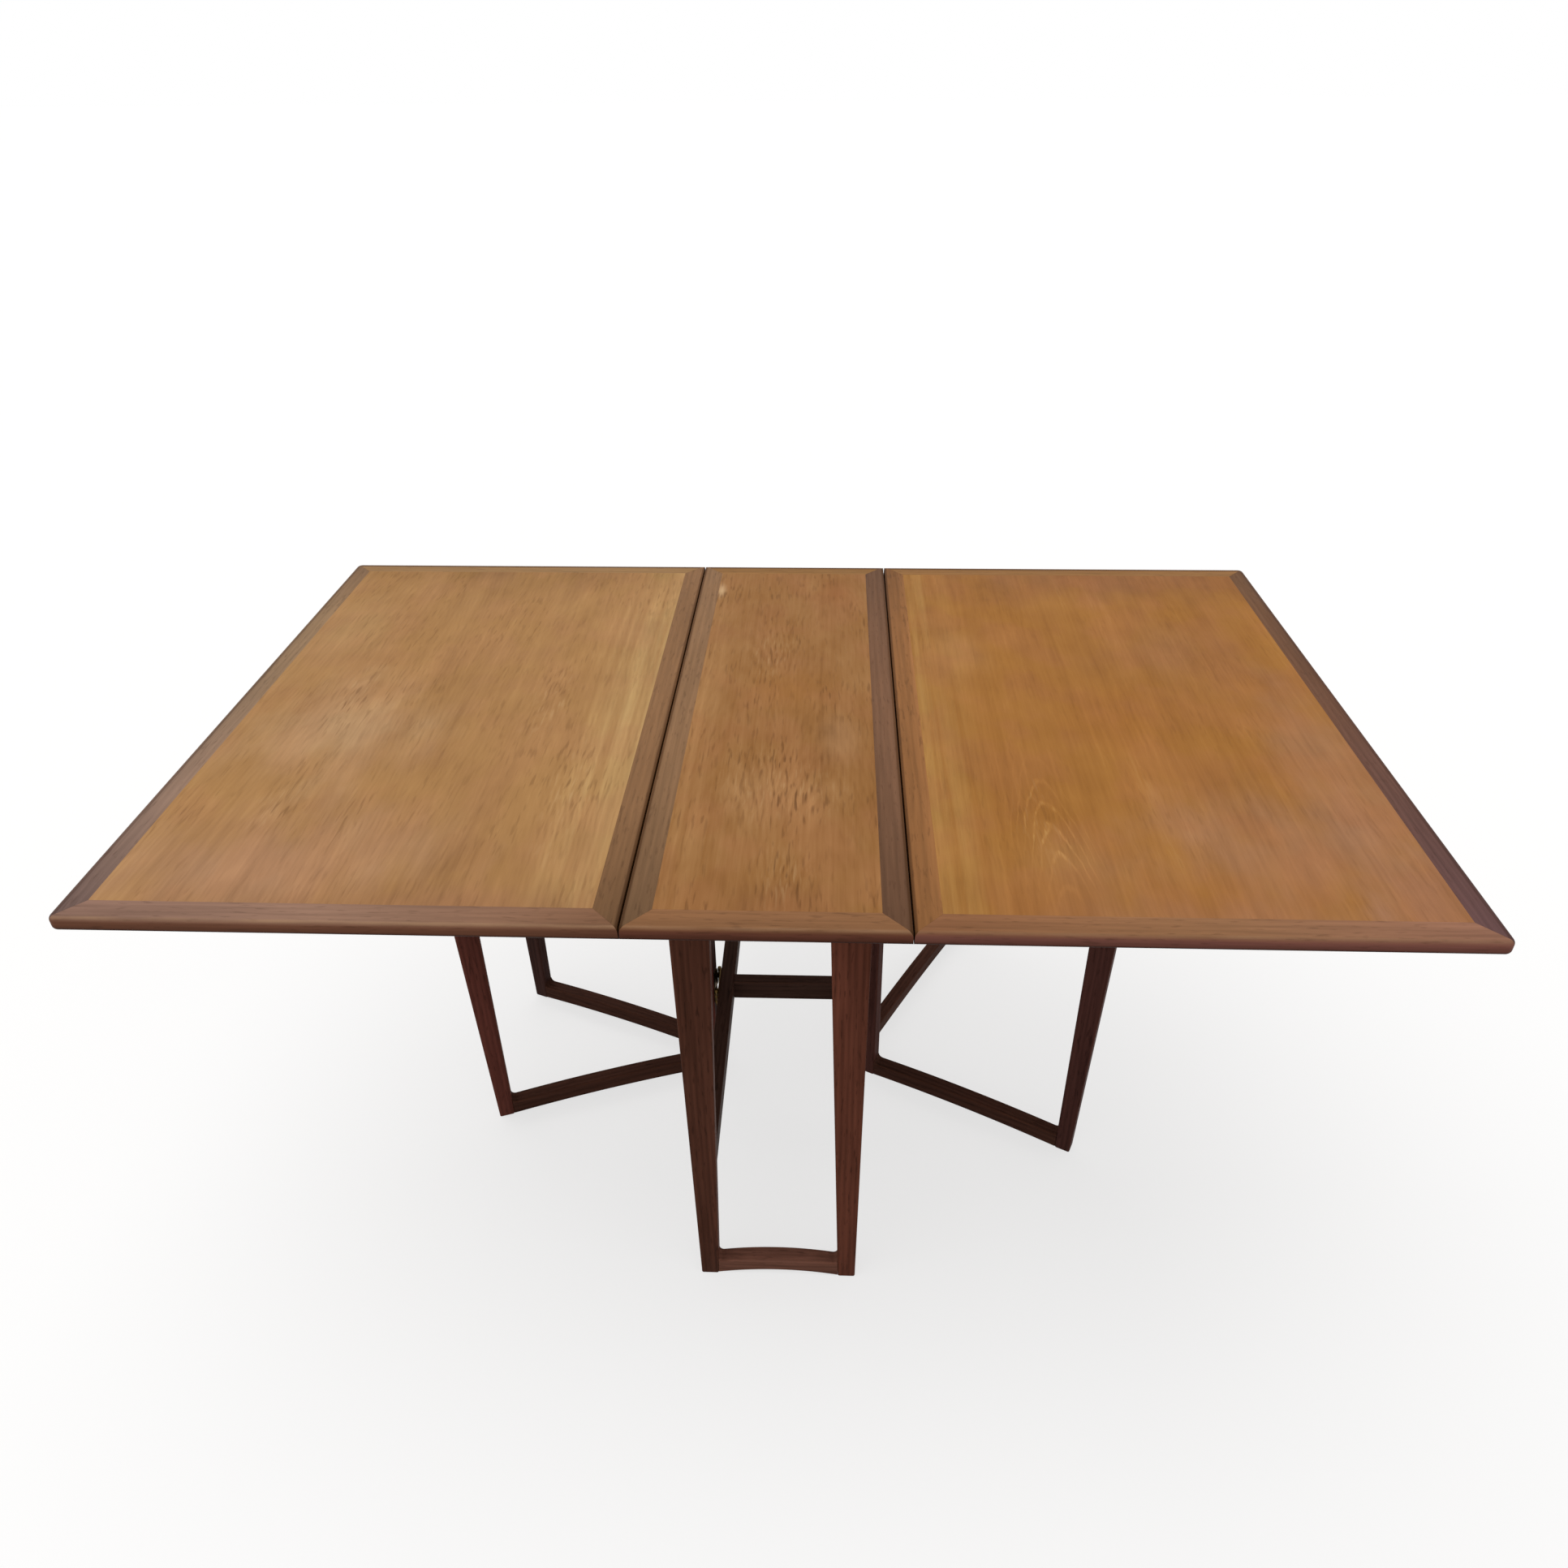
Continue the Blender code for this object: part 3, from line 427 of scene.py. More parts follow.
# A lipping's section as (distance in from the board's edge, height): over the top, round the upper arris,
# down the edge, round the lower arris, back below, and into the groove for the board's tongue. Also each
# point's share of wear and painted highlight, half a sine wave over the upper arris, and its zone.
def lippingSection(kind, width, thick, look):
    radius = look["seamEase"] if kind == "seam" else look["edgeRadius"]
    turn = np.linspace(0, np.pi / 2, look["arcSteps"] + 1)
    arcIn, arcUp = radius * (1 - np.sin(turn)), radius * (1 - np.cos(turn))
    flat = np.array(look["flats"]) * mm
    flat = flat[flat > radius]
    deep = width - look["grooveDepth"]
    inward = np.concatenate([[width, width - look["innerReach"][kind]], flat, arcIn, [0, 0],
                             arcIn[::-1], flat[::-1], [width, width, deep, deep, width]])
    middle, half = thick / 2, look["grooveHeight"] / 2
    edge = [middle + look["edgeFlat"], middle - look["edgeFlat"]]
    groove = [middle - half, middle - half, middle + half, middle + half]
    height = np.concatenate([[thick, thick], 0 * flat + thick, thick - arcUp, edge,
                             arcUp[::-1], 0 * flat, [0], groove])
    bow = np.sin(np.clip(turn / look["wearAndHighlightTurn"], 0, 1) * np.pi)
    wearAndHighlight = np.concatenate([[0, 0], 0 * flat, bow, [0, 0], 0 * bow, 0 * flat, [0, 0, 0, 0, 0]])
    darkening = np.interp(flat, look["edgeShadeFrom"][kind], [look["flatZone"], 1])
    upper = np.clip(turn / look["wearAndHighlightTurn"] + look["upperZone"], darkening[-1], 2)
    lower = np.interp(turn, *look["lowerZones"])
    zone = np.concatenate([[0, 1], darkening, upper, look["edgeZones"], lower, 0 * flat + 4, [4, 4, 4, 4, 4]])
    return inward, height, wearAndHighlight, zone


# How far an edge at a seam leans out, so that no light shows through: most at its underside, and less
# further in from the edge
def seamLean(inward, height, thick, look):
    return look["seamLean"] * (1 - height / thick) * np.clip(1 - inward / look["seamLeanReach"], 0, 1)


# How far a quarter circle falls away at a distance from the edge that it rounds
def roundDrop(distance, radius):
    return radius - np.sqrt(radius ** 2 - np.clip(radius - distance, 0, radius) ** 2)


# Rows of one end of a lipping as (along from the corner, inward, height). Against a seam it is a square
# mitre, where the seam's ease is taken off. A seam's own lipping runs on in rows along its mitre, lowered to
# the round edge that it meets. Between two round edges the end is half a corner arc.
def lippingEnd(inward, height, ownSeam, otherSeam, thick, look):
    if otherSeam:
        eased = roundDrop(np.minimum(height, thick - height), look["seamEase"])
        along = np.maximum(inward, eased) + look["mitreGap"] - seamLean(inward, height, thick, look)
        return along[None], inward[None], height[None]
    if ownSeam:
        along = inward + look["mitreGap"] + np.array(look["seamEndRows"])[:, None] * mm
        drop = roundDrop(along, look["edgeRadius"])
        up = np.clip(height, drop, thick - drop)
        return along, inward - seamLean(inward, up, thick, look), up
    centre = np.maximum(inward, look["cornerRadius"])
    reach = np.maximum(look["cornerRadius"] - inward, 0)
    turn = np.linspace(np.pi / 4, 0, look["arcSteps"])[:, None]
    along = centre - reach * np.sin(turn) + look["mitreGap"] * (turn == turn[0])
    return along, centre - reach * np.cos(turn), height + 0 * along


# A lipping: its section carried straight from the rows of one end to those of the other. A point's colour,
# stain and on the edge and lower arris painted shade, is a blend of the two layers next to its zone, each by
# its nearness.
def makeLipping(board, side, name, body, layout, look, seed):
    boxes = [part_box(f"{board}_lipping_{key}") for key in layout["names"].values()]
    low = np.min([box[0] for box in boxes], axis=0)
    high = np.max([box[1] for box in boxes], axis=0)
    thick = high[2] - low[2]
    lengthways = 0 if side in ("front", "rear") else 1
    crosswise = 1 - lengthways
    ends = (("left", "right"), ("front", "rear"))[lengthways]
    ownSeam = side in layout["seams"]
    kind = "seam" if ownSeam else "outer" if lengthways else side
    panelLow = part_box(board + "_panel")[0]
    width = panelLow[0] - low[0] + look["grooveDepth"] - look["grooveClear"] - look["seamWidth"]
    inward, height, wearAndHighlight, zone = lippingSection(kind, width, thick, look)
    first, last = (lippingEnd(inward, height, ownSeam, end in layout["seams"], thick, look) for end in ends)
    length = high[lengthways] - low[lengthways]
    last = (length - last[0], last[1], last[2])
    share = np.linspace(0, 1, look["lengthRows"])[1:-1, None]
    along, inset, up = (np.concatenate([a, a[-1] + (b[-1] - a[-1]) * share, b[::-1]])
                        for a, b in zip(first, last))
    points = np.zeros((*along.shape, 3))
    points[..., lengthways] = low[lengthways] + along
    points[..., crosswise] = low[crosswise] + inset if side in ("front", "left") else high[crosswise] - inset
    points[..., 2] = low[2] + up

    # an end that is lowered to a round edge takes on that edge's stain and painted shade
    lowered = np.clip((height - up) / look["edgeRadius"], 0, look["loweredMost"])
    zone = np.maximum(zone, look["loweredZone"] * lowered + (zone > 0))
    own = f"{board}_{name}"
    keys = ("innerShades", "edgeStainsAndShade", "wearAndHighlightShares")
    inner, edge, wearAndHighlightShare = (look[key].get(own, look[key][kind]) for key in keys)
    shades = look["alongShades"].get(own, (1, 1))
    shade = np.interp(along / length, np.linspace(0, 1, len(shades)), shades)[..., None]
    stops = np.array([linear(colour) for colour in np.atleast_1d(look["stains"][own])])
    steps = np.linspace(0, 1, len(stops))
    top = np.stack([np.interp(along / length, steps, channel) for channel in stops.T], axis=-1)
    # layers by zone: the joint, the top, the edge's stain with painted shade, the lower arris's painted
    # shade, the underside
    layers = [top * inner, top, *map(linear, (edge, look["lowerArrisShade"], look["underStain"]))]
    nearness = [np.clip(1 - np.abs(zone - n), 0, 1)[..., None] for n in range(len(layers))]
    stain = shade * sum(near * layer for near, layer in zip(nearness, layers))
    offset = np.random.default_rng(seed).uniform(0, 9, 3)
    attributes = {
        "grain": np.stack([inset, up, along], axis=-1).reshape(-1, 3) + offset,
        "stain": stain.reshape(-1, 3),
        "wearAndHighlight": np.tile(wearAndHighlight * wearAndHighlightShare, len(along)),
    }
    piece = putMesh(f"{board}_{name}_edge", points, tubeFaces(*along.shape), lippingTeak, attributes)
    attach(piece, body)
    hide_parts(f"{board}_lipping_{name}")


boards = {
    "centre": {"body": "base", "seams": ("left", "right"),
               "names": {"front": "front", "rear": "rear", "left": "left", "right": "right"}},
    "left_leaf": {"body": "left_leaf", "seams": ("right",),
                  "names": {"front": "front", "rear": "rear", "right": "hinge", "left": "outer"}},
    "right_leaf": {"body": "right_leaf", "seams": ("left",),
                   "names": {"front": "front", "rear": "rear", "left": "hinge", "right": "outer"}},
}
for boardNumber, (board, layout) in enumerate(boards.items()):
    for sideNumber, (side, name) in enumerate(layout["names"].items()):
        seed = 10 * boardNumber + sideNumber
        makeLipping(board, side, name, layout["body"], layout, lippingLook, seed)
print("lippings finished")


# Frames and gates: legs, posts, rails and stretchers with rounded arrises

frameLook = {
    "arris": 2.4 * mm, "arcSteps": 4, "rubbedReach": 2.5 * mm, "shoulderGap": 0.1 * mm,
    "footRound": 2.0 * mm, "footSteps": 4, "uprightRows": 8, "fillet": 8 * mm, "filletSteps": 8,
    "archRise": 9 * mm, "gateArchRise": 5 * mm, "archSteps": 28,
    # how near a CAD corner lies to its foot, head or shoulder
    "footReach": 2 * mm, "headReach": 1 * mm, "shoulderReach": 0.6 * mm,
    "stains": {"leg_left": "#5C382B", "leg_right": "#6F4031", "foot_rail": "#7F5546", "top_rail": "#563529",
               "stretcher": "#4A342C", "gate_front_left": "#683A31", "gate_rear_left": "#48302B",
               "gate_front_right": "#55342E", "gate_rear_right": "#4E322B", "gate_rail": "#503329"},
    "seeds": {"leg": (100, 107), "foot_rail": (120, 121), "top_rail": (130, 131), "side_rail": (140, 141),
              "stretcher": (150, 151), "cross_stretcher": 160},
    "gateSeeds": {"post": 200, "leg": 201, "foot_rail": 204, "top_rail": 205}, "gateSeedStep": 10,
    "finish": {"grain": {"ragged": (40, 260, 2), "fibre": (3.5, 110, 4), "broad": (45, 300, 2),
                         "dash": (3, 24, 1), "wornAndHighlit": (12, 80, 3)},
               "shares": {"fibre": 0.9, "broad": 1.0}, "ringWidth": 8, "ragged": 10, "ringShare": 0.22,
               "pore": "#1C0F0A", "poreShare": 0.4, "wearAndHighlight": "#7A4A34", "wearAndHighlightShare": (0.05, 0.2),
               "roughness": (0.44, 0.56), "specular": 0.012},
}
frameTeak = solidTeak("dark_oiled_teak", {**planedTeak, **frameLook["finish"]})


# A CAD node's corners in a place's own axes: along the first axis, the second, and up
def cornersIn(node, place):
    mesh = frame["nodes"][node].data
    points = np.zeros(len(mesh.vertices) * 3, np.float32)
    mesh.vertices.foreach_get("co", points)
    return (points.reshape(-1, 3) - place["origin"]) @ place["axes"].T


# Points in a place's own axes, back in the table's
def toWorld(points, place):
    return points @ place["axes"] + place["origin"]


# An upright's corners at its foot and at its head
def footAndHead(corners):
    up = corners[:, 2]
    return corners[up < frameLook["footReach"]], corners[up > up.max() - frameLook["headReach"]]


# A straight side of an upright as a function of height, read from its CAD node
def edgeLine(node, place, pick):
    corners = cornersIn(node, place)
    height = corners[:, 2].max()
    low, high = (pick(end[:, 0]) for end in footAndHead(corners))
    return lambda z: low + (high - low) * z / height


# The two facing sides that a straight rail butts against, as constant shoulders
def flatShoulders(low, high):
    return (lambda z: low + 0 * z, lambda z: high + 0 * z)


# A rounded rectangle round its four corners, as signs, unit arcs, shoulders past each arc and how rubbed
def roundedRing(look):
    turn = np.linspace(0, np.pi / 2, look["arcSteps"] + 1)
    quarter = (np.arange(4) * np.pi / 2)[:, None]
    angle = quarter + np.concatenate([[0], turn, [np.pi / 2]])
    slide = np.zeros(angle.shape)
    slide[:, 0], slide[:, -1] = -look["rubbedReach"], look["rubbedReach"]
    wearAndHighlight = np.broadcast_to(np.concatenate([[0], np.sin(2 * turn), [0]]), angle.shape)
    sign = np.array([[1, 1], [-1, 1], [-1, -1], [1, -1]])[:, None] * np.ones((*angle.shape, 1))
    arc = np.stack([np.cos(angle), np.sin(angle)], axis=-1)
    shift = slide[..., None] * np.stack([-np.sin(angle), np.cos(angle)], axis=-1)
    return sign.reshape(-1, 2), arc.reshape(-1, 2), shift.reshape(-1, 2), wearAndHighlight.ravel()


# Sections (rows, points, 2) between lower and upper edges a0..a1 and b0..b1, given for each row
def barSections(a0, a1, b0, b1, radius, look):
    sign, arc, shift, wearAndHighlight = roundedRing(look)
    low = np.stack(np.broadcast_arrays(a0, b0), axis=-1)[:, None]
    high = np.stack(np.broadcast_arrays(a1, b1), axis=-1)[:, None]
    radius = np.broadcast_to(radius, low.shape[:1])[:, None, None]
    return (low + high) / 2 + sign * ((high - low) / 2 - radius) + radius * arc + shift, wearAndHighlight


# A bar's rows of sections into a wood piece, whose grain runs along the axis lengthways
def putBar(name, local, wearAndHighlight, lengthways, place, body, stain, seed):
    offset = np.random.default_rng(seed).uniform(0, 9, 3)
    order = [axis for axis in range(3) if axis != lengthways] + [lengthways]
    flat = local.reshape(-1, 3)
    attributes = {
        "grain": flat[:, order] + offset,
        "stain": np.tile(linear(stain), (len(flat), 1)),
        "wearAndHighlight": np.tile(wearAndHighlight, local.shape[0]),
    }
    piece = putMesh(name + "_wood", toWorld(flat, place), tubeFaces(*local.shape[:2]), frameTeak, attributes)
    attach(piece, body)
    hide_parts(name)


# An upright: a rounded section carried up a straight taper, drawn in by a quarter circle at the foot
def makeUpright(name, place, body, stain, look, seed):
    corners = cornersIn(name, place)
    height = corners[:, 2].max()
    bottom, top = footAndHead(corners)
    turn = np.linspace(0, np.pi / 2, look["footSteps"] + 1)[::-1]
    ease, rows = look["footRound"], look["uprightRows"]
    z = np.concatenate([ease * (1 - np.sin(turn)), np.linspace(ease, height, rows + 1)[1:]])
    drawn = np.concatenate([ease * (1 - np.cos(turn)), np.zeros(rows)])
    share = z / height
    inner = bottom[:, 0].min() + (top[:, 0].min() - bottom[:, 0].min()) * share + drawn
    outer = bottom[:, 0].max() + (top[:, 0].max() - bottom[:, 0].max()) * share - drawn
    near, far = corners[:, 1].min() + drawn, corners[:, 1].max() - drawn
    section, wearAndHighlight = barSections(inner, outer, near, far, look["arris"], look)
    local = np.concatenate([section, np.broadcast_to(z[:, None, None], (*section.shape[:2], 1))], axis=-1)
    putBar(name, local, wearAndHighlight, 2, place, body, stain, seed)


# A rail along the first axis between two shoulders that may slope with height. It arches by its rise,
# and its ends swell into fillets on the upper side (+1), the lower side (-1) or neither (0).
def makeRail(name, place, shoulders, body, stain, look, seed, rise=0.0, filleted=0):
    corners = cornersIn(name, place)
    start, stop = shoulders
    ends = corners[np.abs(corners[:, 0] - start(corners[:, 2])) < look["shoulderReach"]]
    y0, y1 = ends[:, 1].min(), ends[:, 1].max()
    z0, z1 = ends[:, 2].min(), ends[:, 2].max()
    if filleted > 0:
        z1 -= look["fillet"]
    if filleted < 0:
        z0 += look["fillet"]
    middle = (z0 + z1) / 2
    length = stop(middle) - start(middle)
    turn = np.linspace(0, np.pi / 2, look["filletSteps"] + 1)
    curled = look["fillet"] * (1 - np.cos(turn)) / length
    steps = np.linspace(0, 1, look["archSteps"] + 1)[1:-1]
    steps = steps[(steps > curled[-1]) & (steps < 1 - curled[-1])]
    share = np.concatenate([curled, steps, 1 - curled[::-1]])
    fromEnd = np.minimum(share, 1 - share) * length
    short = np.maximum(look["fillet"] - fromEnd, 0)
    swell = look["fillet"] - np.sqrt(look["fillet"] ** 2 - short ** 2)
    low = z0 - swell * (filleted < 0)
    high = z1 + swell * (filleted > 0)
    section, wearAndHighlight = barSections(y0, y1, low, high, look["arris"], look)
    gap = look["shoulderGap"]
    near, far = start(section[..., 1]) + gap, stop(section[..., 1]) - gap
    along = near + (far - near) * share[:, None]
    lift = (rise * 4 * share * (1 - share))[:, None]
    local = np.stack([along, section[..., 0], section[..., 1] + lift], axis=-1)
    putBar(name, local, wearAndHighlight, 0, place, body, stain, seed)


# the table's own axes, and the same with the first two changed over
plain = {"origin": np.zeros(3), "axes": np.eye(3)}
turned = {"origin": np.zeros(3), "axes": np.array([[0, 1, 0], [1, 0, 0], [0, 0, 1.0]])}
stains, seeds = frameLook["stains"], frameLook["seeds"]
for number, end in enumerate(("front", "rear")):
    for hand in ("left", "right"):
        makeUpright(f"{end}_frame_leg_{hand}", plain, "base", stains["leg_" + hand], frameLook,
                    seeds["leg"][number])
    shoulders = (edgeLine(f"{end}_frame_leg_left", plain, np.max),
                 edgeLine(f"{end}_frame_leg_right", plain, np.min))
    makeRail(f"{end}_frame_foot_rail", plain, shoulders, "base", stains["foot_rail"], frameLook,
             seeds["foot_rail"][number], frameLook["archRise"], 1)
    makeRail(f"{end}_frame_top_rail", plain, shoulders, "base", stains["top_rail"], frameLook,
             seeds["top_rail"][number], 0, -1)

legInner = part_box("rear_frame_leg_left")[0][1]
shoulders = flatShoulders(-legInner, legInner)
for number, hand in enumerate(("left", "right")):
    for rail in ("side_rail", "stretcher"):
        makeRail(f"{hand}_{rail}", turned, shoulders, "base", stains["stretcher"], frameLook,
                 seeds[rail][number])
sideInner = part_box("right_stretcher")[0][0]
makeRail("cross_stretcher", plain, flatShoulders(-sideInner, sideInner), "base", stains["stretcher"],
         frameLook, seeds["cross_stretcher"])
print("end frames and stretchers finished")


# A gate's own axes at rest, from its joint: out along the gate from its hinge, through its thickness, and up
def gatePlace(joint):
    side = -1 if "left" in joint["name"] else 1
    end = -1 if "front" in joint["name"] else 1
    opening = math.radians(-joint["range_deg"][0])
    out = np.array([side * math.sin(opening), end * math.cos(opening), 0])
    through = -side * end * np.array([-out[1], out[0], 0])
    return {"origin": np.array(joint["pos_m"]), "axes": np.array([out, through, [0, 0, 1]])}


gateJoints = [joint for joint in frame["joints"] if joint["name"].startswith("gate_")]
for number, joint in enumerate(gateJoints):
    body = joint["child"]
    place = gatePlace(joint)
    step = frameLook["gateSeedStep"] * number
    gateSeeds = {part: seed + step for part, seed in frameLook["gateSeeds"].items()}
    for upright in ("post", "leg"):
        makeUpright(f"{body}_{upright}", place, body, stains[body], frameLook, gateSeeds[upright])
    shoulders = (edgeLine(body + "_post", place, np.max), edgeLine(body + "_leg", place, np.min))
    makeRail(body + "_foot_rail", place, shoulders, body, stains["gate_rail"], frameLook,
             gateSeeds["foot_rail"], frameLook["gateArchRise"], 1)
    makeRail(body + "_top_rail", place, shoulders, body, stains["gate_rail"], frameLook,
             gateSeeds["top_rail"], 0, -1)
print("gates finished")


# Hinges: smooth copies of the CAD leaves, with slotted screws in their plates

# grain is (x, y, z, detail). Real rolling lines are finer: they are drawn as coarse as the render shows.
hingeLook = {
    "sharp": 35, "weld": 0.001 * mm,
    "screwRadius": 2.7 * mm, "screwDome": 0.55 * mm, "screwLift": 0.1 * mm, "screwSink": 0.3 * mm,
    "slotWidth": 0.8 * mm, "slotDepth": 0.35 * mm, "chords": 6, "chordReach": 0.93, "chordSteps": 13,
    # leaf hinges: the pins' place, the knuckles' reach, and the row of screws
    "leafPin": 161 * mm, "knuckleReach": 10 * mm, "leafScrews": 10, "leafScrewShift": 0.12,
    # gate hinges: the flat part of a plate and a moving leaf, and their screws' places
    "plateReach": 23 * mm, "plateScrewY": 13 * mm, "gateScrewZ": 9 * mm, "gateFlatFrom": 6 * mm,
    "gateScrewY": 10.2 * mm,
    "brass": {"grain": {"cloud": (24, 24, 24, 4.0), "lines": (0.8, 40, 0.8, 2.0)}, "sheenFrom": (0.3, 0.7),
              "bump": 0.12, "bumpDepth": 0.1},
    "finish": {"stops": ((0.2, "#463520"), (0.5, "#574426"), (0.8, "#66502C")), "roughness": (0.65, 0.45)},
    "screwFinish": {"stops": ((0.2, "#5C4826"), (0.5, "#74592F"), (0.8, "#8A6E3C")),
                    "roughness": (0.57, 0.37)},
}
hingeBrass = agedBrass("aged_rolled_brass", {**hingeLook["brass"], **hingeLook["finish"]})
screwBrass = agedBrass("aged_turned_brass", {**hingeLook["brass"], **hingeLook["screwFinish"]})


# A hinge leaf: a copy of its CAD mesh with the doubles merged and the knuckles shaded round
def makeHinge(name, body, look):
    mesh = frame["nodes"][name].data.copy()
    bm = bmesh.new()
    bm.from_mesh(mesh)
    bmesh.ops.remove_doubles(bm, verts=bm.verts, dist=look["weld"])
    bm.to_mesh(mesh)
    bm.free()
    mesh.shade_smooth()
    mesh.set_sharp_from_angle(angle=math.radians(look["sharp"]))
    mesh.materials.clear()
    mesh.materials.append(hingeBrass)
    piece = bpy.data.objects.new(name + "_brass", mesh)
    bpy.context.collection.objects.link(piece)
    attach(piece, body)
    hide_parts(name)


# Screw heads: each is a low dome over a disc, cut in chords that run along its slot, with a flat back.
# Given are the heads' middles on the plate, the way they face and how far each slot is turned.
def makeScrews(name, middles, facing, turns, body, look):
    radius, half = look["screwRadius"], look["slotWidth"] / 2
    turn = np.linspace(np.pi / 2 * look["chordReach"], np.arcsin(half / radius), look["chords"])
    outer = radius * np.sin(turn)
    chord = np.concatenate([-outer, [-half, half], outer[::-1]])[:, None]
    deep = (np.abs(np.arange(len(chord)) - (len(chord) - 1) / 2) < 1)[:, None]
    reach = np.sqrt(radius ** 2 - chord ** 2)
    share = np.sin(np.linspace(-np.pi / 2, np.pi / 2, look["chordSteps"]))
    x = np.concatenate([reach * share, reach * share[::-1]], axis=1)
    dome = look["screwDome"] * (1 - (reach * share) ** 2 / radius ** 2 - chord ** 2 / radius ** 2)
    dome = dome + look["screwLift"]
    z = np.concatenate([dome - look["slotDepth"] * deep, np.full(dome.shape, -look["screwSink"])], axis=1)
    head = np.stack([x, np.broadcast_to(chord, x.shape), z], axis=-1)
    toFace = np.array(Vector((0, 0, 1)).rotation_difference(Vector(facing)).to_matrix())
    cos, sin, flat = np.cos(turns), np.sin(turns), np.zeros(len(turns))
    spin = np.stack([cos, -sin, flat, sin, cos, flat, flat, flat, flat + 1], axis=-1).reshape(-1, 3, 3)
    points = np.einsum("ij,njk,rak->nrai", toFace, spin, head) + np.asarray(middles)[:, None, None]
    size = head.shape[0] * head.shape[1]
    one = tubeFaces(*head.shape[:2])
    faces = [[index + size * screw for index in face] for screw in range(len(turns)) for face in one]
    piece = putMesh(name, points, faces, screwBrass)
    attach(piece, body)


turnDraw = np.random.default_rng(31)
upDown = (-hingeLook["gateScrewZ"], hingeLook["gateScrewZ"])
for side, hand in ((-1, "left"), (1, "right")):
    for away, part, body in ((-side, "fixed", "base"), (side, "moving", hand + "_leaf")):
        node = f"{hand}_leaf_hinge_{part}"
        makeHinge(node, body, hingeLook)
        low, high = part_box(node)
        plate = cornersIn(node, plain)
        fromPin = np.abs(np.abs(plate[:, 0]) - hingeLook["leafPin"])
        face = plate[fromPin > hingeLook["knuckleReach"]][:, 2].min()
        x = (low[0] + high[0]) / 2 + (high[0] - low[0]) * hingeLook["leafScrewShift"] * away
        ys = np.linspace(low[1], high[1], 2 * hingeLook["leafScrews"] + 1)[1::2]
        middles = np.stack([np.full(len(ys), x), ys, np.full(len(ys), face)], axis=-1)
        turns = turnDraw.uniform(0, np.pi, len(ys))
        makeScrews(node + "_screws", middles, (0, 0, -1), turns, body, hingeLook)
    for level in ("lower", "upper"):
        node = f"{hand}_gate_hinge_plate_{level}"
        makeHinge(node, "base", hingeLook)
        low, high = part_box(node)
        plate = cornersIn(node, plain)
        face = side * np.abs(plate[np.abs(plate[:, 1]) < hingeLook["plateReach"]][:, 0]).max()
        middle = (low[2] + high[2]) / 2
        ys = (-hingeLook["plateScrewY"], hingeLook["plateScrewY"])
        middles = [(face, y, middle + z) for y in ys for z in upDown]
        turns = turnDraw.uniform(0, np.pi, len(middles))
        makeScrews(node + "_screws", middles, (side, 0, 0), turns, "base", hingeLook)
for joint in gateJoints:
    body = joint["child"]
    place = gatePlace(joint)
    for level in ("lower", "upper"):
        node = f"{body}_hinge_{level}"
        makeHinge(node, body, hingeLook)
        plate = cornersIn(node, place)
        flat = plate[plate[:, 1] > hingeLook["gateFlatFrom"]]
        middle = (flat[:, 2].min() + flat[:, 2].max()) / 2
        local = np.array([(flat[:, 0].min(), hingeLook["gateScrewY"], middle + z) for z in upDown])
        turns = turnDraw.uniform(0, np.pi, len(local))
        makeScrews(node + "_screws", toWorld(local, place), -place["axes"][0], turns, body, hingeLook)
print("hinges and screws finished")


# Floor, light and camera

# sizes in metres, and the light's spread in degrees
stageLook = {"floor": "#9C9B9A", "floorGlow": 0.685, "floorBounce": 0.11, "size": 60.0, "below": 0.2 * mm,
             "fill": 0.55, "sun": 1.45, "sunSpread": 70, "sunFrom": (-0.25, 0.30, 1.0)}


# 1 where a thing is seen, straight, in gloss or through glass, and 0 where it only gives light
def seenShare(node):
    rays = node("LightPath", out=None).outputs
    seen = node("Math", {0: rays["Is Camera Ray"], 1: rays["Is Glossy Ray"]}, operation="MAXIMUM")
    return node("Math", {0: seen, 1: rays["Is Transmission Ray"]}, operation="MAXIMUM")


# Matt pale studio floor: plain white away from the table, with the table's shadow on it
def studioFloor(look):
    material, node = newMaterial("matt_pale_floor")
    paint = node("BsdfDiffuse", {"Color": (*linear(look["floor"]), 1)})
    strength = node("MapRange", {0: seenShare(node), 3: look["floorBounce"], 4: look["floorGlow"]})
    glow = node("Emission", {"Strength": strength})
    node("OutputMaterial", {0: node("AddShader", {0: paint, 1: glow})}, out=None)
    half, level = look["size"] / 2, -look["below"]
    corners = [(-half, -half, level), (half, -half, level), (half, half, level), (-half, half, level)]
    putMesh("studio_floor", corners, [(0, 1, 2, 3)], material)


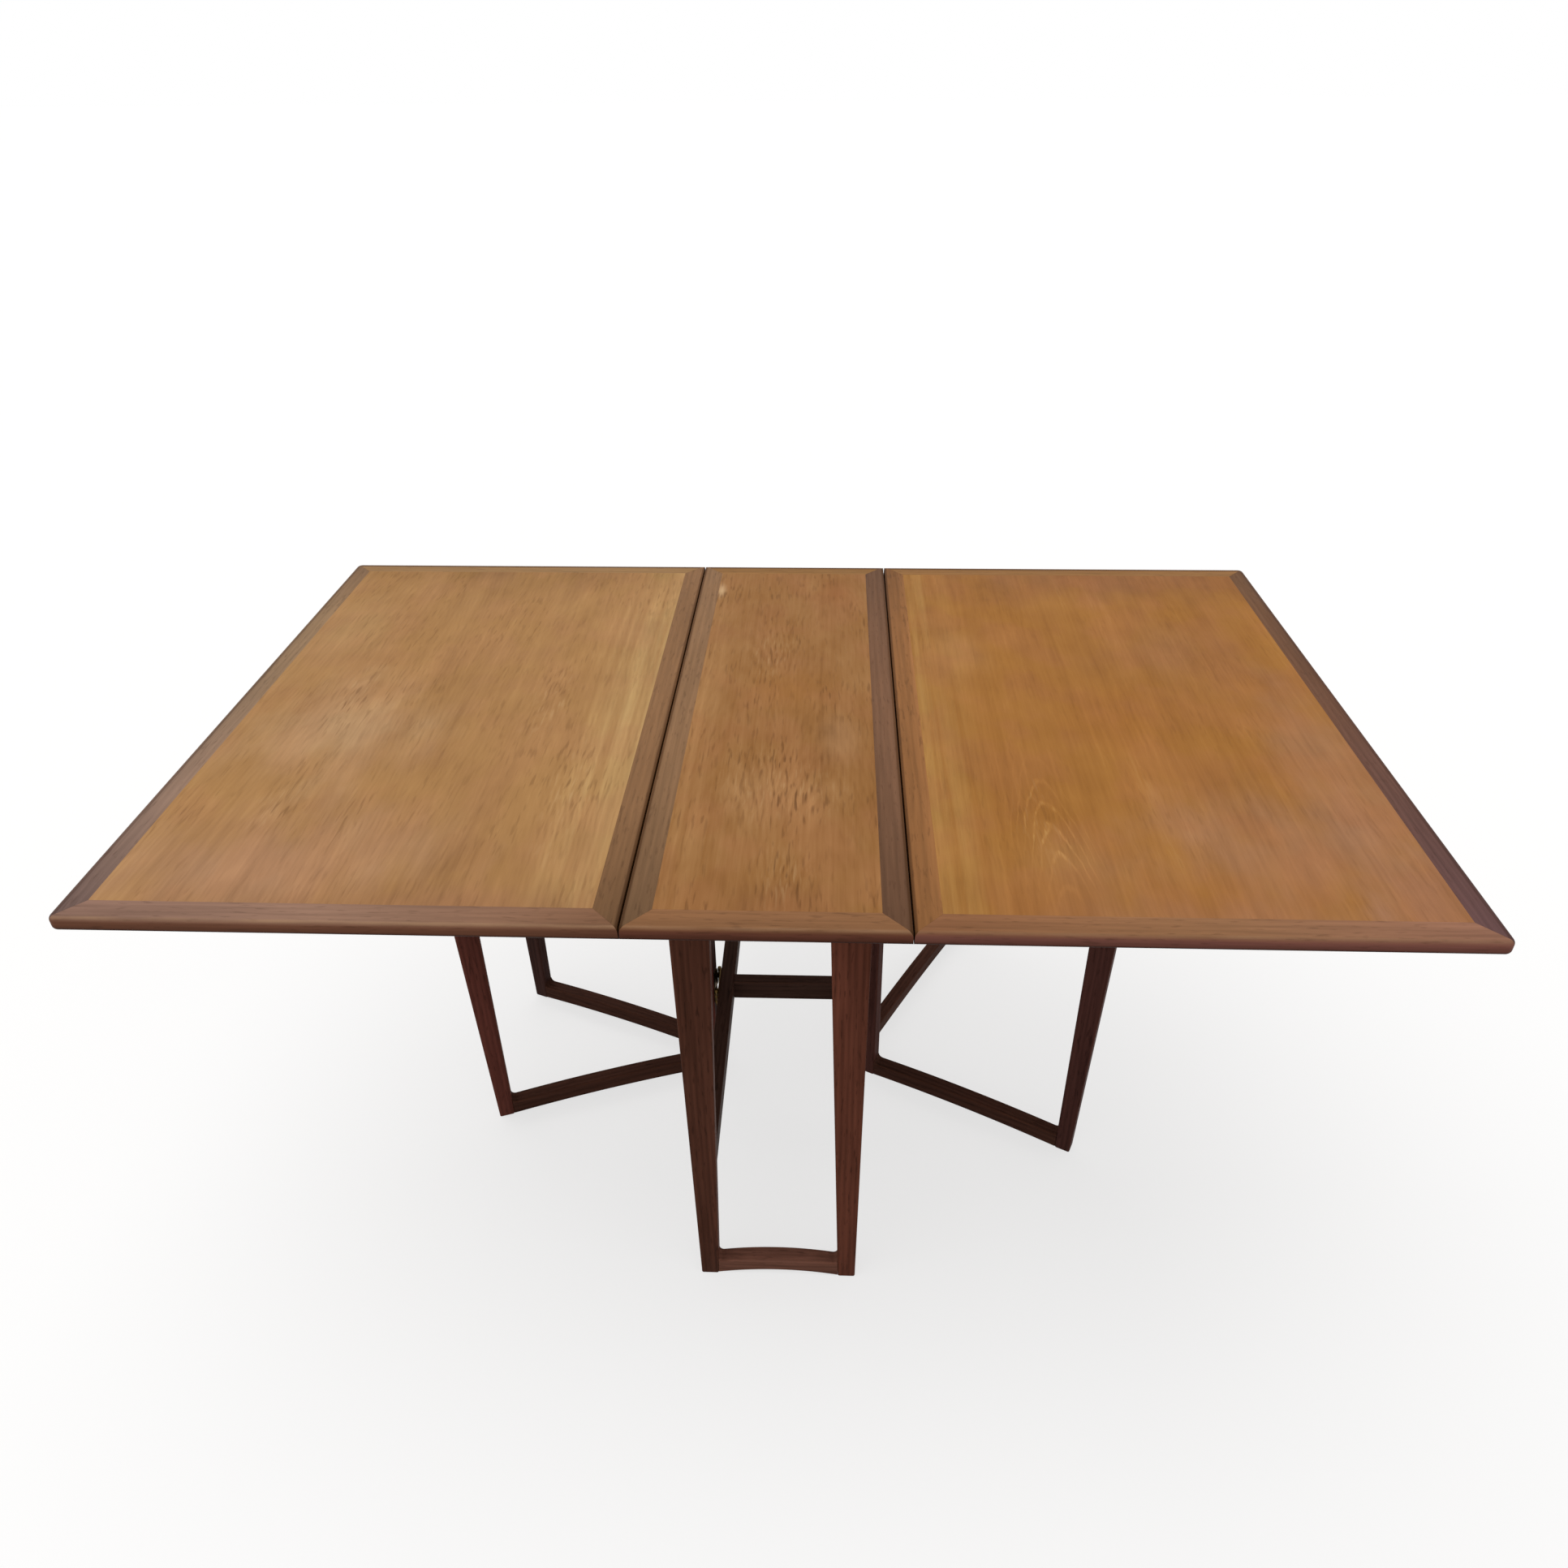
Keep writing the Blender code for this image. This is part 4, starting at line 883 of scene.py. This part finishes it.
# White surroundings, which light the table less than they show
def studioWorld(look):
    world = bpy.data.worlds.new("studio_white")
    bpy.context.scene.world = world
    world.use_nodes = True
    world.node_tree.nodes.clear()
    node = partial(addNode, world.node_tree)
    strength = node("MapRange", {0: seenShare(node), 3: look["fill"], 4: 1.0})
    node("OutputWorld", {0: node("Background", {"Color": (1, 1, 1, 1), "Strength": strength})}, out=None)


# One broad soft light from overhead
def softSun(look):
    lamp = bpy.data.lights.new("overhead_light", "SUN")
    lamp.energy = look["sun"]
    lamp.angle = math.radians(look["sunSpread"])
    obj = bpy.data.objects.new("overhead_light", lamp)
    obj.rotation_euler = Vector(look["sunFrom"]).to_track_quat("Z", "Y").to_euler()
    bpy.context.collection.objects.link(obj)


studioFloor(stageLook)
studioWorld(stageLook)
softSun(stageLook)

# the photograph's viewpoint: place in metres, angles in degrees, focal length and middle in its pixels
cameraLook = {"place": (0.0676, -1.4176, 1.5619), "pitch": 31.8321, "yaw": 2.3165, "roll": 0.6035,
              "focal": 1401.2, "middle": (974.5, 901.5), "pixels": 1932, "sensor": 36.0}


# The camera: axes from yaw, pitch and roll, lens from the focal length, shift from the middle
def makeCamera(look):
    pitch, yaw, roll = (math.radians(look[key]) for key in ("pitch", "yaw", "roll"))
    forward = Vector((-math.sin(yaw) * math.cos(pitch), math.cos(yaw) * math.cos(pitch), -math.sin(pitch)))
    right = Vector((math.cos(yaw), math.sin(yaw), 0))
    down = forward.cross(right)
    across = math.cos(roll) * right + math.sin(roll) * down
    below = math.cos(roll) * down - math.sin(roll) * right
    camera = bpy.data.cameras.new("photo_camera")
    camera.sensor_width = look["sensor"]
    camera.lens = look["sensor"] * look["focal"] / look["pixels"]
    camera.shift_x = 0.5 - look["middle"][0] / look["pixels"]
    camera.shift_y = look["middle"][1] / look["pixels"] - 0.5
    obj = bpy.data.objects.new("photo_camera", camera)
    axes = Matrix((across, -below, -forward)).transposed().to_4x4()
    obj.matrix_world = Matrix.Translation(look["place"]) @ axes
    bpy.context.collection.objects.link(obj)
    bpy.context.scene.camera = obj


makeCamera(cameraLook)
bpy.context.scene.view_settings.view_transform = "Standard"
print("stage, lamp and camera finished")
